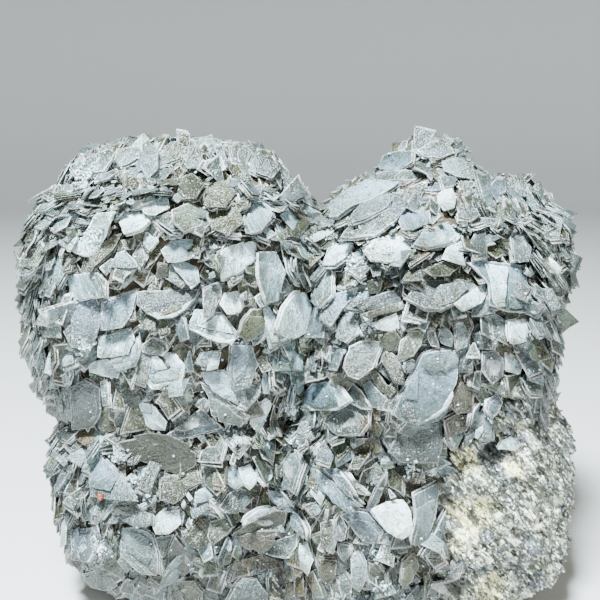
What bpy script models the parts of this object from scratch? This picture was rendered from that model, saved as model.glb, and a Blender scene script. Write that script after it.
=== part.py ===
"""A hand-sized specimen of platy calcite grown over quartz rock.

Two knobbly mounds of rock are crusted with thin, flat calcite blades that overlap like shingles. The rock
is bare at the lower right, at the back and underneath, where it is cut off flat and rests. The origin is in
that cut, near its middle, +Z is up, and the crusted front faces -Y. Everything is worked out in millimetres
and turned into metres as the last step of each piece.
"""

import math
import random

import bmesh
import bpy
from mathutils import Matrix, Vector, noise
from mathutils.bvhtree import BVHTree

MM = 0.001

# Driving dimensions, in millimetres.
GAP = 0.4  # clearance between the rock and the calcite on it
FOOT_GAP = 0.5  # how far the calcite stays off the surface that the rock rests on
BLADE = 0.9  # thickness of a blade
BURIED = 1.3  # how deep a small blade's root sits in the crust
HELD = 0.3  # how deep a large blade's root corner sits in it
ROUGH = 2.4  # height of the lumps on the broken rock
SMALL_BLADES = 76  # blades that fill in between and behind the large ones

# The mounds as squared-off ellipsoids: centre, radii, squareness (2 is a true ellipsoid).
MOUNDS = {
    "left_upper": ((-22.5, 0.0, 57.0), (28.0, 24.0, 28.5), 2.6),
    "left_lower": ((-22.0, -2.0, 23.0), (25.0, 23.0, 25.0), 2.3),
    "right_upper": ((22.5, -1.0, 50.0), (25.0, 25.0, 30.0), 2.4),
    "right_knob": ((24.0, 4.0, 75.0), (10.0, 12.0, 10.0), 2.2),
    "right_back": ((39.0, 7.0, 62.0), (13.0, 16.0, 16.0), 2.3),
    "right_lower": ((13.0, -7.0, 20.0), (18.0, 18.0, 24.0), 2.5),
}

# The rock behind and below the mounds, in the same terms.
ROCK = {
    "back_left": ((-22.0, 9.0, 40.0), (24.5, 20.0, 41.0), 3.4),
    "back_right": ((25.0, 9.0, 38.0), (23.0, 20.0, 39.0), 3.4),
    "back_middle": ((0.0, 12.0, 30.0), (30.0, 15.0, 35.0), 3.0),
    "foot": ((0.0, 0.0, 16.0), (40.0, 14.0, 22.0), 3.0),
    "right_foot": ((33.0, -3.0, 22.0), (17.0, 20.0, 24.0), 2.6),
}
AROUND = 16  # facets round a mound
UP_AND_DOWN = 10  # facets from its bottom to its top

# The front sheet: a drawing sheet that stands before the specimen, square to a line of sight that comes
# down at SHEET_TILT. It is drawn at six units to the millimetre, u to the right and v downwards, and each
# large blade of the front has its outline there. A blade lies where the lines of sight through it end.
SHEET_UNITS = 6.0
SHEET_MIDDLE = (300.0, 300.0)
SHEET_CENTRE = Vector((0.0, -20.0, 60.0))
SHEET_TILT = math.radians(12)
EYE_DISTANCE = 150.0
ACROSS = Vector((1.0, 0.0, 0.0))
AHEAD = Vector((0.0, math.cos(SHEET_TILT), -math.sin(SHEET_TILT)))
UPWARD = Vector((0.0, math.sin(SHEET_TILT), math.cos(SHEET_TILT)))
EYE = SHEET_CENTRE - AHEAD * EYE_DISTANCE
MOST_FORESHORTENED = 0.55  # a blade is never seen more edge-on than this


def sheet_point(u, v):
    """The place in space of a point of the front sheet."""
    right = (u - SHEET_MIDDLE[0]) / SHEET_UNITS
    up = (SHEET_MIDDLE[1] - v) / SHEET_UNITS
    return SHEET_CENTRE + ACROSS * right + UPWARD * up


def sight(u, v):
    """The unit direction of the line of sight through a point of the sheet."""
    return (sheet_point(u, v) - EYE).normalized()


def lump(name, grow=0.0, rough=0.0):
    """One mound or rock shape, grown all round where asked, with an uneven surface where it is rough."""
    centre, radii, square = (MOUNDS | ROCK)[name]
    bm = bmesh.new()
    bmesh.ops.create_uvsphere(bm, u_segments=AROUND, v_segments=UP_AND_DOWN, radius=1.0)
    for vert in bm.verts:
        way = vert.co.normalized()
        reach = sum(abs(part) ** square for part in way) ** (-1.0 / square)
        skin = Vector([part * reach * radius for part, radius in zip(way, radii)])
        place = Vector(centre) + skin
        bump = noise.noise(place / 7.0) + 0.5 * noise.noise(place / 3.0)
        vert.co = place + skin.normalized() * (grow + bump * rough)
    bmesh.ops.triangulate(bm, faces=bm.faces, quad_method="FIXED")
    return bm


# The large blades of the front by place: the side its root is on in degrees (0 right, 90 up, 180 left), how
# far in degrees its free edge stands off the crust, and its outline on the front sheet.
LEFT_TOP = {
    "skyline_outer": (270, 20, [(70, 166), (90, 157), (110, 149), (115, 152), (104, 171), (76, 176)]),
    "skyline_second": (290, 24, [(112, 167), (117, 149), (140, 145), (143, 150), (135, 160), (122, 166)]),
    "skyline_third": (270, 18, [(143, 143), (158, 146), (158, 170), (147, 180), (140, 165)]),
    "skyline_fourth": (250, 20, [(160, 148), (175, 141), (184, 145), (180, 158), (164, 164)]),
    "skyline_fifth": (270, 22, [(186, 146), (202, 148), (203, 160), (190, 166), (183, 157)]),
    "skyline_bright": (270, 16, [(205, 160), (222, 156), (226, 168), (214, 175), (206, 172)]),
    "skyline_sixth": (270, 22, [(228, 147), (242, 142), (252, 152), (246, 166), (232, 164)]),
    "skyline_seventh": (230, 22, [(252, 157), (268, 155), (281, 168), (272, 178), (256, 172)]),
    "skyline_tip": (180, 25, [(282, 172), (295, 181), (304, 196), (296, 200), (284, 188)]),
    "lath": (150, 18, [(95, 183), (95, 178), (117, 169), (119, 171), (108, 179)]),
    "upper_fan": (90, 30, [(150, 197), (168, 197), (170, 207), (155, 215), (143, 213), (142, 203)]),
    "upper_grey": (200, 25, [(172, 180), (192, 173), (204, 184), (196, 198), (178, 200)]),
    "upper_olive": (90, 22, [(205, 186), (224, 180), (236, 192), (226, 207), (208, 206)]),
    "upper_leaf": (60, 24, [(172, 209), (190, 202), (206, 209), (202, 225), (184, 232), (172, 222)]),
    "frosted_slab": (200, 20, [(72, 252), (85, 233), (95, 214), (112, 212), (103, 237), (90, 258)]),
    "frosted_small": (90, 26, [(120, 212), (140, 212), (150, 220), (140, 229), (124, 233), (119, 222)]),
    "dark_strip": (45, 14, [(123, 232), (114, 248), (90, 272), (86, 268), (95, 252), (115, 233)]),
    "pale_chip": (90, 20, [(145, 232), (154, 232), (158, 241), (149, 250), (143, 243)]),
    "fan_grey": (120, 20, [(206, 209), (222, 210), (236, 205), (244, 222), (228, 236), (212, 228)]),
    "fan_pale": (90, 22, [(254, 202), (268, 200), (273, 215), (262, 231), (250, 232), (245, 220)]),
    "fan_edge": (90, 25, [(285, 212), (300, 207), (311, 222), (300, 236), (287, 236)]),
    "druse_plate": (100, 18, [(161, 250), (170, 240), (200, 240), (206, 248), (190, 257), (168, 262)]),
}
LEFT_MIDDLE = {
    "triangle": (90, 30, [(111, 265), (118, 252), (125, 250), (138, 265), (136, 267), (112, 267)]),
    "triangle_side": (90, 14, [(141, 242), (146, 258), (140, 271), (132, 255)]),
    "round_end": (180, 20, [(68, 274), (97, 273), (105, 281), (105, 297), (92, 297), (70, 301)]),
    "grey_slab": (90, 16, [(70, 303), (96, 297), (102, 312), (97, 336), (90, 350), (72, 348)]),
    "big_slab": (80, 16, [(102, 301), (120, 296), (137, 289), (132, 314), (122, 328), (101, 330)]),
    "lower_slab": (90, 24, [(98, 338), (112, 334), (132, 328), (135, 340), (128, 355), (98, 358)]),
    "slab_hem": (40, 28, [(110, 361), (135, 356), (140, 332), (142, 348), (136, 366), (120, 371)]),
    "white_hem": (60, 18, [(90, 362), (110, 358), (120, 368), (118, 378), (104, 376), (90, 372)]),
    "half_disc": (90, 26, [(136, 291), (198, 289), (191, 306), (175, 315), (158, 320), (145, 314),
                           (137, 304)]),
    "roof_right": (60, 24, [(172, 265), (183, 261), (198, 268), (199, 283), (192, 290), (182, 277)]),
    "rounded_grey": (90, 18, [(140, 346), (152, 337), (166, 341), (167, 350), (162, 356), (142, 352)]),
    "hexagon": (100, 20, [(141, 373), (143, 361), (157, 355), (176, 355), (186, 368), (181, 381),
                          (163, 388), (151, 388)]),
    "wide_plate": (80, 22, [(188, 329), (195, 309), (222, 312), (240, 336), (232, 344), (208, 338)]),
    "valley_plate": (20, 22, [(220, 251), (238, 243), (254, 241), (256, 258), (240, 272), (222, 281)]),
    "grey_lath": (60, 20, [(203, 290), (221, 282), (222, 296), (212, 315), (204, 320)]),
    "small_hexagon": (90, 24, [(224, 293), (238, 290), (244, 305), (240, 312), (228, 314), (220, 303)]),
    "olive_leaf": (40, 26, [(239, 335), (243, 320), (253, 309), (270, 309), (264, 332), (250, 341)]),
    "twin_lath_left": (75, 20, [(203, 352), (213, 351), (205, 367), (196, 363)]),
    "twin_lath_right": (75, 20, [(213, 352), (222, 351), (217, 369), (207, 371)]),
    "smooth_grey": (90, 12, [(232, 345), (252, 345), (258, 365), (250, 388), (235, 392), (229, 372)]),
    "valley_grey": (20, 12, [(258, 252), (276, 252), (286, 272), (278, 300), (266, 304), (258, 276)]),
    "left_grey": (90, 18, [(70, 388), (84, 380), (99, 388), (101, 412), (93, 428), (72, 430)]),
    "shard": (120, 20, [(132, 401), (151, 404), (167, 422), (165, 431), (152, 430), (138, 418)]),
    "long_edge": (300, 24, [(166, 436), (184, 424), (201, 409), (223, 428), (208, 432), (180, 440)]),
    "fallen_plate": (110, 16, [(200, 381), (225, 397), (249, 418), (245, 425), (212, 416), (208, 398)]),
    "over_fallen": (90, 14, [(200, 372), (222, 372), (243, 388), (246, 404), (222, 393), (206, 383)]),
    "blade_point": (80, 20, [(256, 408), (268, 400), (272, 404), (260, 436), (252, 426)]),
}
LEFT_BOTTOM = {
    "dark_wedge": (90, 24, [(117, 443), (142, 438), (168, 441), (196, 453), (196, 466), (180, 475),
                            (134, 459)]),
    "blue_face": (80, 24, [(88, 464), (101, 456), (121, 476), (136, 500), (116, 500), (90, 496)]),
    "dark_scoop": (60, 20, [(160, 480), (176, 474), (188, 487), (186, 495), (174, 504), (160, 500)]),
    "grey_tongue": (110, 26, [(107, 503), (128, 500), (150, 515), (150, 525), (136, 527), (121, 519)]),
    "white_cup": (60, 26, [(151, 523), (166, 511), (180, 509), (181, 523), (169, 534), (156, 534)]),
    "green_slab": (90, 14, [(121, 528), (136, 527), (152, 535), (158, 556), (157, 576), (141, 575),
                            (120, 556)]),
    "leaf": (270, 20, [(175, 537), (189, 557), (187, 570), (179, 577), (168, 566), (168, 552)]),
    "grey_wing": (60, 22, [(182, 541), (199, 520), (207, 517), (210, 532), (207, 546), (200, 549)]),
    "pale_wing": (70, 20, [(210, 522), (225, 517), (236, 524), (226, 536), (212, 546), (208, 536)]),
    "trio_left": (80, 24, [(216, 473), (228, 466), (240, 471), (246, 482), (238, 490)]),
    "trio_middle": (90, 26, [(238, 468), (250, 464), (257, 474), (256, 483), (251, 489), (243, 482)]),
    "trio_right": (90, 24, [(257, 466), (270, 465), (273, 474), (266, 486), (259, 478)]),
    "druse_disc": (60, 22, [(219, 508), (228, 494), (240, 488), (252, 491), (254, 498), (238, 513),
                            (225, 513)]),
    "white_lath": (40, 14, [(246, 519), (259, 510), (281, 506), (282, 508), (262, 519), (244, 525)]),
    "stack_upper": (150, 22, [(230, 535), (250, 521), (275, 512), (287, 513), (284, 524), (262, 531),
                              (240, 537)]),
    "stack_middle": (150, 24, [(234, 538), (258, 531), (277, 531), (277, 536), (264, 548), (250, 550),
                               (240, 545)]),
    "stack_lower": (30, 24, [(257, 550), (274, 541), (298, 533), (297, 546), (288, 558), (270, 556)]),
    "smooth_point": (90, 16, [(280, 453), (290, 447), (298, 452), (304, 463), (293, 494), (285, 487)]),
    "valley_blade": (120, 16, [(290, 511), (296, 513), (306, 530), (306, 541), (291, 525)]),
    "valley_lath": (130, 14, [(268, 492), (281, 494), (299, 512), (288, 511), (275, 503)]),
    "bottom_pale": (90, 20, [(227, 603), (235, 588), (243, 578), (257, 580), (268, 596), (266, 606)]),
    "bottom_grey": (90, 20, [(170, 590), (181, 581), (194, 581), (203, 592), (200, 606), (172, 604)]),
    "bottom_left": (90, 24, [(78, 574), (96, 571), (114, 574), (120, 580), (110, 587), (86, 583)]),
    "left_low": (100, 20, [(72, 530), (92, 527), (98, 545), (88, 562), (72, 560)]),
}
RIGHT_TOP = {
    "knob_top": (270, 22, [(417, 150), (431, 141), (448, 143), (455, 152), (440, 158), (424, 157)]),
    "knob_left": (270, 20, [(378, 168), (383, 155), (397, 151), (412, 150), (412, 162), (396, 171)]),
    "knob_right": (180, 20, [(442, 161), (457, 157), (472, 164), (474, 178), (458, 176), (444, 171)]),
    "knob_under": (90, 20, [(366, 178), (382, 172), (404, 169), (426, 172), (412, 180), (380, 180)]),
    "beak": (30, 20, [(328, 216), (332, 204), (346, 193), (365, 180), (400, 181), (386, 192),
                      (352, 206), (338, 216)]),
    "beak_under": (60, 16, [(354, 212), (363, 201), (392, 193), (388, 206), (366, 218), (352, 222)]),
    "knob_shadow": (120, 16, [(423, 190), (441, 177), (456, 177), (454, 186), (438, 191)]),
    "knob_white": (90, 22, [(439, 193), (452, 187), (456, 196), (454, 207), (444, 210), (437, 202)]),
    "rimmed_oval": (120, 22, [(456, 214), (465, 208), (476, 208), (480, 214), (470, 222), (458, 220)]),
    "back_first": (270, 20, [(487, 189), (495, 179), (505, 181), (507, 191), (496, 196)]),
    "back_second": (270, 20, [(508, 183), (516, 175), (527, 180), (528, 196), (512, 196)]),
    "long_grey": (30, 16, [(340, 238), (348, 226), (380, 212), (398, 206), (398, 218), (376, 234),
                           (356, 238)]),
    "left_white": (40, 16, [(322, 264), (328, 248), (342, 240), (353, 243), (346, 256), (334, 264)]),
    "white_patch": (80, 20, [(364, 250), (374, 240), (404, 235), (413, 240), (408, 257), (388, 262),
                             (372, 259)]),
    "pale_top": (90, 18, [(398, 222), (404, 210), (430, 209), (430, 222), (412, 230), (402, 229)]),
    "long_oval": (60, 28, [(414, 243), (424, 230), (444, 223), (460, 228), (464, 236), (446, 243),
                           (428, 247)]),
    "over_dark": (60, 20, [(424, 271), (440, 262), (458, 257), (461, 265), (450, 275), (432, 276)]),
    "bundle_left": (90, 12, [(471, 240), (480, 224), (486, 228), (488, 258), (473, 260)]),
    "bundle_right": (80, 14, [(510, 236), (524, 224), (529, 240), (526, 260), (512, 262)]),
}
RIGHT_MIDDLE = {
    "greenish_long": (70, 14, [(312, 300), (319, 280), (326, 262), (332, 271), (331, 296), (320, 309)]),
    "rim_left": (40, 18, [(276, 331), (284, 308), (296, 293), (307, 292), (312, 308), (309, 332),
                          (290, 341)]),
    "long_parallel": (60, 18, [(319, 320), (323, 306), (336, 293), (355, 288), (356, 297), (344, 306),
                               (330, 326)]),
    "druse_block": (60, 16, [(338, 322), (350, 306), (358, 313), (358, 334), (346, 343), (336, 338)]),
    "ledge_upper": (20, 18, [(352, 301), (370, 297), (394, 290), (402, 300), (388, 308), (360, 310)]),
    "ledge_lower": (20, 20, [(361, 314), (380, 308), (402, 301), (405, 309), (386, 313), (362, 321)]),
    "tan_knob": (90, 20, [(381, 343), (384, 334), (394, 330), (401, 339), (396, 350), (386, 351)]),
    "rimmed_grey": (90, 26, [(406, 298), (414, 285), (430, 280), (470, 278), (477, 284), (456, 302),
                             (442, 309), (424, 307)]),
    "rimmed_grey_tip": (60, 24, [(456, 304), (472, 290), (484, 283), (489, 290), (482, 302), (465, 310)]),
    "pale_wall": (80, 24, [(470, 262), (485, 261), (528, 265), (528, 312), (510, 313), (490, 305),
                           (490, 284)]),
    "under_wall": (90, 18, [(484, 318), (496, 314), (508, 322), (510, 338), (500, 339), (485, 329)]),
    "under_wall_white": (60, 22, [(508, 322), (528, 317), (528, 340), (511, 343)]),
    "pair_first": (200, 20, [(428, 330), (434, 329), (440, 348), (431, 346), (427, 338)]),
    "pair_second": (200, 20, [(440, 330), (448, 329), (453, 336), (452, 347), (443, 345), (438, 337)]),
    "green_rhomb": (60, 20, [(399, 358), (403, 340), (413, 331), (425, 329), (421, 345), (413, 356)]),
    "grey_rhomb": (70, 22, [(343, 368), (350, 346), (360, 341), (384, 341), (373, 368), (358, 380),
                            (348, 376)]),
    "olive_blade": (110, 18, [(381, 360), (385, 350), (394, 356), (403, 371), (404, 385), (394, 384)]),
    "narrow_blade": (110, 16, [(369, 372), (374, 368), (386, 384), (398, 389), (390, 398), (378, 388)]),
    "largest": (80, 22, [(389, 415), (406, 387), (420, 359), (440, 350), (461, 351), (458, 378),
                         (446, 410), (416, 427)]),
    "frosted_left": (120, 20, [(296, 398), (311, 384), (335, 380), (347, 400), (334, 410), (310, 410)]),
    "grey_hexagon": (110, 26, [(320, 418), (334, 408), (348, 401), (370, 412), (369, 423), (360, 435),
                               (337, 436)]),
    "pointed_grey": (120, 20, [(344, 392), (352, 383), (361, 391), (372, 409), (362, 409), (348, 402)]),
    "pointed_white": (120, 20, [(362, 384), (370, 380), (387, 400), (381, 409), (371, 407)]),
    "grey_window": (90, 20, [(389, 452), (396, 438), (410, 429), (441, 422), (443, 442), (439, 463),
                             (402, 463)]),
    "grey_window_side": (60, 16, [(444, 420), (456, 414), (473, 418), (467, 431), (447, 440)]),
    "olive_wall": (90, 14, [(447, 404), (456, 388), (462, 381), (474, 390), (472, 413), (458, 414)]),
    "right_column": (90, 16, [(482, 352), (495, 350), (503, 358), (504, 376), (492, 384), (482, 370)]),
    "right_column_side": (60, 18, [(505, 352), (516, 356), (524, 366), (521, 374), (508, 371)]),
    "blue_chip": (90, 18, [(486, 400), (496, 393), (503, 402), (499, 413), (492, 419), (485, 410)]),
}
RIGHT_BOTTOM = {
    "stack_long": (120, 22, [(306, 466), (317, 470), (346, 493), (363, 507), (342, 507), (318, 489)]),
    "stack_second": (120, 18, [(322, 468), (339, 469), (352, 488), (356, 496), (344, 491)]),
    "stack_third": (120, 16, [(341, 468), (350, 476), (370, 496), (358, 494), (350, 486)]),
    "slanting_blade": (250, 18, [(366, 512), (375, 491), (387, 472), (388, 478), (380, 498), (372, 511)]),
    "white_heart": (80, 24, [(371, 510), (386, 502), (403, 499), (411, 512), (413, 534), (403, 539),
                             (385, 528)]),
    "grey_heart": (60, 20, [(414, 495), (441, 481), (436, 510), (429, 538), (412, 545), (411, 538),
                            (416, 520)]),
    "edge_lath": (60, 18, [(421, 557), (437, 530), (448, 506), (447, 524), (439, 543), (428, 555)]),
    "bottom_oval": (90, 16, [(400, 584), (402, 563), (415, 551), (419, 566), (412, 582), (404, 589)]),
    "column_rim": (90, 16, [(335, 520), (340, 513), (347, 528), (345, 541), (336, 540)]),
    "pale_flag": (90, 18, [(351, 556), (358, 550), (366, 566), (366, 580), (360, 592), (351, 586)]),
    "pale_foot": (90, 16, [(338, 572), (346, 570), (352, 584), (351, 598), (341, 598)]),
    "ridge_white": (60, 18, [(299, 546), (308, 543), (313, 560), (307, 577), (300, 566)]),
    "front_grey": (270, 30, [(392, 604), (404, 590), (430, 583), (462, 581), (474, 592), (470, 606)]),
}
FRONT_BLADES = LEFT_TOP | LEFT_MIDDLE | LEFT_BOTTOM | RIGHT_TOP | RIGHT_MIDDLE | RIGHT_BOTTOM

# Single blades that stand on the bare rock, in the same terms.
LONE_BLADES = {
    "lone_blade_right": (60, 34, [(498, 449), (503, 440), (524, 431), (522, 445), (517, 450)]),
    "lone_blade_low": (100, 34, [(444, 584), (448, 567), (457, 555), (464, 560), (458, 578)]),
}


def surface_of(names):
    """The chosen lumps as one tree that a line of sight can be cast at."""
    points = []
    faces = []
    for name in names:
        bm = lump(name)
        first = len(points)
        points += [vert.co.copy() for vert in bm.verts]
        faces += [[first + vert.index for vert in face.verts] for face in bm.faces]
        bm.free()
    return BVHTree.FromPolygons(points, faces)


def level(name, point):
    """How far out a point is in a lump's own terms: below 1 inside it, 1 on it."""
    centre, radii, square = (MOUNDS | ROCK)[name]
    return sum(abs((p - c) / r) ** square for p, c, r in zip(point, centre, radii))


def outward(point, names):
    """The smooth outward normal at a point, from the lump that it lies on."""
    name = min(names, key=lambda one: level(one, point))
    centre, radii, square = (MOUNDS | ROCK)[name]
    slope = [
        math.copysign(abs((p - c) / r) ** (square - 1.0) / r, p - c)
        for p, c, r in zip(point, centre, radii)
    ]
    return Vector(slope).normalized()


def leaning(normal, root_way, lift):
    """The way from root to free edge and the blade's own normal, where it stands off by lift degrees."""
    toward_root = (root_way - normal * root_way.dot(normal)).normalized()
    run = -toward_root * math.cos(math.radians(lift)) + normal * math.sin(math.radians(lift))
    side = normal.cross(toward_root).normalized()
    facing = run.cross(side).normalized()
    if facing.dot(normal) < 0:
        facing.negate()
    return run, facing


def front_blade(spec, tree, names):
    """The corners and the facing of one large blade, found by sight from its outline on the sheet."""
    root, lift, outline = spec
    across = math.cos(math.radians(root))
    upward = math.sin(math.radians(root))
    middle_u = sum(u for u, v in outline) / len(outline)
    middle_v = sum(v for u, v in outline) / len(outline)
    root_u, root_v = max(outline, key=lambda corner: corner[0] * across - corner[1] * upward)
    held = None
    for share in (0.9, 0.6, 0.3, 0.0, -0.4, -0.8):
        u = middle_u + (root_u - middle_u) * share
        v = middle_v + (root_v - middle_v) * share
        held = tree.ray_cast(EYE, sight(u, v))[0]
        if held:
            break
    if held is None:
        raise ValueError(f"no crust behind the blade at {middle_u:.0f}, {middle_v:.0f}")
    normal = outward(held, names)
    root_way = ACROSS * across + UPWARD * upward
    looking = sight(middle_u, middle_v)
    run, facing = leaning(normal, root_way, lift)
    while facing.dot(-looking) < MOST_FORESHORTENED:
        facing = (facing - looking * 0.1).normalized()
    held = held - normal * HELD
    corners = []
    for u, v in outline:
        way = sight(u, v)
        corners.append(EYE + way * ((held - EYE).dot(facing) / way.dot(facing)))
    return corners, facing


def add_prism(bm, corners, facing, thick):
    """One closed blade: its outline, facing outwards, and the same outline one thickness behind."""
    front = [bm.verts.new(corner) for corner in corners]
    back = [bm.verts.new(corner - facing * thick) for corner in corners]
    faces = [bm.faces.new(front), bm.faces.new(back[::-1])]
    for here in range(len(front)):
        after = (here + 1) % len(front)
        faces.append(bm.faces.new((front[here], back[here], back[after], front[after])))
    bmesh.ops.recalc_face_normals(bm, faces=faces)


# A small blade's outline from its root: shares of its length and of its half width, up one side.
SMALL_SHAPES = {
    "hexagon": [(0.0, 0.55), (0.4, 1.0), (1.0, 0.45)],
    "kite": [(0.0, 0.35), (0.55, 1.0), (1.0, 0.12)],
    "disc": [(0.0, 0.7), (0.5, 1.0), (0.85, 0.65), (1.0, 0.2)],
    "lath": [(0.0, 0.5), (1.0, 0.42)],
}


def small_blade(shape, root, run, facing, length, width):
    """The corners of one small blade that grows from root along run."""
    side = facing.cross(run).normalized()
    half = SMALL_SHAPES[shape]
    near = [root + run * (length * along) + side * (width / 2 * out) for along, out in half]
    far = [root + run * (length * along) - side * (width / 2 * out) for along, out in reversed(half)]
    return near + far


def on_sheet(point):
    """Where a point in space is seen on the front sheet."""
    seen = point - EYE
    scale = EYE_DISTANCE * SHEET_UNITS / seen.dot(AHEAD)
    return SHEET_MIDDLE[0] + seen.dot(ACROSS) * scale, SHEET_MIDDLE[1] - seen.dot(UPWARD) * scale


def inside_outline(u, v, outline):
    """True where a point of the sheet lies within an outline."""
    within = False
    for (u1, v1), (u2, v2) in zip(outline, outline[1:] + outline[:1]):
        if (v1 > v) != (v2 > v) and u < (u2 - u1) * (v - v1) / (v2 - v1) + u1:
            within = not within
    return within


def hides_a_large_blade(corners, tree):
    """True where a blade would stand in front of one of the large blades."""
    middle = sum(corners, Vector()) / len(corners)
    blocked = tree.ray_cast(EYE, (middle - EYE).normalized(), (middle - EYE).length - 6.0)[0]
    if blocked:
        return False
    halfway = [(corner + after) / 2 for corner, after in zip(corners, corners[1:] + corners[:1])]
    seen = [on_sheet(point) for point in corners + halfway + [middle]]
    outlines = [spec[2] for spec in (FRONT_BLADES | LONE_BLADES).values()]
    return any(inside_outline(u, v, outline) for u, v in seen for outline in outlines)


def near_rock(corners):
    """True where any corner of a blade lies in the rock or close over it."""
    return any(level(rock, corner) < 1.12 for rock in ROCK for corner in corners)


def spot_on_crust(rng, names):
    """A place on the outside of the mounds, spread evenly enough over all of them."""
    while True:
        name = rng.choices(names, [MOUNDS[one][1][0] * MOUNDS[one][1][2] for one in names])[0]
        centre, radii, square = MOUNDS[name]
        way = Vector([rng.gauss(0, 1) for _ in range(3)]).normalized()
        reach = sum(abs(part) ** square for part in way) ** (-1.0 / square)
        spot = Vector([c + part * reach * r for c, part, r in zip(centre, way, radii)])
        if spot.z < 3.0:
            continue
        others = [other for other in names if other != name] + list(ROCK)
        if all(level(other, spot) > 1.0 for other in others):
            return spot


def add_small_blades(bm, tree, wanted):
    """Blades over the rest of the crust, free edges downwards, clear of the rock and the large blades."""
    rng = random.Random(7)
    names = list(MOUNDS)
    placed = []
    tries = 0
    while len(placed) < wanted and tries < 40 * wanted:
        tries += 1
        spot = spot_on_crust(rng, names)
        if any((spot - other).length < 5.5 for other in placed):
            continue
        normal = outward(spot, names)
        up_slope = Vector((rng.uniform(-0.5, 0.5), rng.uniform(-0.5, 0.5), 1.0))
        if abs(up_slope.normalized().dot(normal)) > 0.9:
            up_slope = Vector((rng.uniform(-1, 1), rng.uniform(-1, 1), 0.2))
        run, facing = leaning(normal, up_slope, rng.uniform(10, 28))
        length = rng.uniform(5.5, 9.5)
        width = length * rng.uniform(0.6, 1.0)
        shape = rng.choice(list(SMALL_SHAPES))
        corners = small_blade(shape, spot - normal * BURIED, run, facing, length, width)
        if near_rock(corners) or hides_a_large_blade(corners, tree):
            continue
        placed.append(spot)
        add_prism(bm, corners, facing, BLADE)


def object_of(bm, name, material=None):
    """A scene object from finished geometry in millimetres."""
    bm.transform(Matrix.Scale(MM, 4))
    mesh = bpy.data.meshes.new(name)
    bm.to_mesh(mesh)
    bm.free()
    made = bpy.data.objects.new(name, mesh)
    bpy.context.scene.collection.objects.link(made)
    if material:
        mesh.materials.append(material)
    return made


def as_tool(made):
    """Marks an object that only shapes others, so that it is no piece of the specimen."""
    made.hide_render = True
    made.display_type = "WIRE"
    return made


def combine(made, other, operation, label):
    """One Boolean step, kept on the object as a modifier."""
    step = made.modifiers.new(label, "BOOLEAN")
    step.operation = operation
    step.object = other
    step.solver = "EXACT"
    step.use_self = True


def joined(names, grow=0.0, rough=0.0):
    """Several lumps in one mesh, still overlapping."""
    whole = bmesh.new()
    for name in names:
        add_to(whole, lump(name, grow, rough))
    return whole


def add_to(whole, bm):
    """Moves the geometry of one bmesh into another."""
    mesh = bpy.data.meshes.new("passing")
    bm.to_mesh(mesh)
    bm.free()
    whole.from_mesh(mesh)
    bpy.data.meshes.remove(mesh)


def settled(made):
    """Applies the Boolean steps, then drops crumbs that touch the main body along an edge or not at all."""
    graph = bpy.context.evaluated_depsgraph_get()
    mesh = bpy.data.meshes.new_from_object(made.evaluated_get(graph))
    made.modifiers.clear()
    made.data = mesh
    bm = bmesh.new()
    bm.from_mesh(mesh)
    unseen = set(bm.faces)
    bodies = []
    while unseen:
        body = [unseen.pop()]
        for face in body:
            for edge in face.edges:
                beyond = [other for other in edge.link_faces if other in unseen]
                if len(edge.link_faces) == 2 and beyond:
                    unseen.remove(beyond[0])
                    body.append(beyond[0])
        bodies.append(body)
    bodies.sort(key=len)
    for body in bodies[:-1]:
        bmesh.ops.delete(bm, geom=body, context="FACES")
    bm.to_mesh(mesh)
    bm.free()
    print(made.name, "dropped crumbs:", len(bodies) - 1)


def slab_below(height):
    """A block whose top is at this height, to cut a piece off flat."""
    bm = bmesh.new()
    bmesh.ops.create_cube(bm, size=1.0)
    bmesh.ops.scale(bm, verts=bm.verts, vec=(160.0, 160.0, 40.0))
    bmesh.ops.translate(bm, verts=bm.verts, vec=(0.0, 0.0, height - 20.0))
    return bm


def finish_material(name, colour, roughness):
    """A plain material with this base colour and roughness."""
    material = bpy.data.materials.new(name)
    material.use_nodes = True
    shader = material.node_tree.nodes["Principled BSDF"]
    shader.inputs["Base Color"].default_value = (*colour, 1.0)
    shader.inputs["Roughness"].default_value = roughness
    shader.inputs["Metallic"].default_value = 0.0
    return material


def make_rock(material):
    """The quartz rock, cut off flat where it rests."""
    first, *others = ROCK
    rock = object_of(joined([first], rough=ROUGH), "quartz_matrix", material)
    rest = as_tool(object_of(joined(others, rough=ROUGH), "rock_lumps"))
    floor = as_tool(object_of(slab_below(0.0), "floor_cut"))
    combine(rock, rest, "UNION", "Lumps")
    combine(rock, floor, "DIFFERENCE", "Flat cut")
    return rock


def make_crust(material, socket):
    """The mounds and every blade grown together, hollowed for the rock and cut off above the foot."""
    first, *others = MOUNDS
    names = list(MOUNDS)
    tree = surface_of(names)
    growth = joined(others)
    for spec in FRONT_BLADES.values():
        corners, facing = front_blade(spec, tree, names)
        add_prism(growth, corners, facing, BLADE)
    add_small_blades(growth, tree, SMALL_BLADES)
    crust = object_of(joined([first]), "calcite_crust", material)
    combine(crust, as_tool(object_of(growth, "blades_and_mounds")), "UNION", "Blades")
    combine(crust, socket, "DIFFERENCE", "Rock")
    combine(crust, as_tool(object_of(slab_below(FOOT_GAP), "foot_cut")), "DIFFERENCE", "Foot")
    settled(crust)


def make_lone_blades(material, socket):
    """The blades that stand alone on the bare rock, each its own piece."""
    rocks = list(ROCK)
    tree = surface_of(rocks)
    for name, spec in LONE_BLADES.items():
        corners, facing = front_blade(spec, tree, rocks)
        bm = bmesh.new()
        add_prism(bm, corners, facing, BLADE)
        blade = object_of(bm, name, material)
        combine(blade, socket, "DIFFERENCE", "Rock")
        settled(blade)


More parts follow.
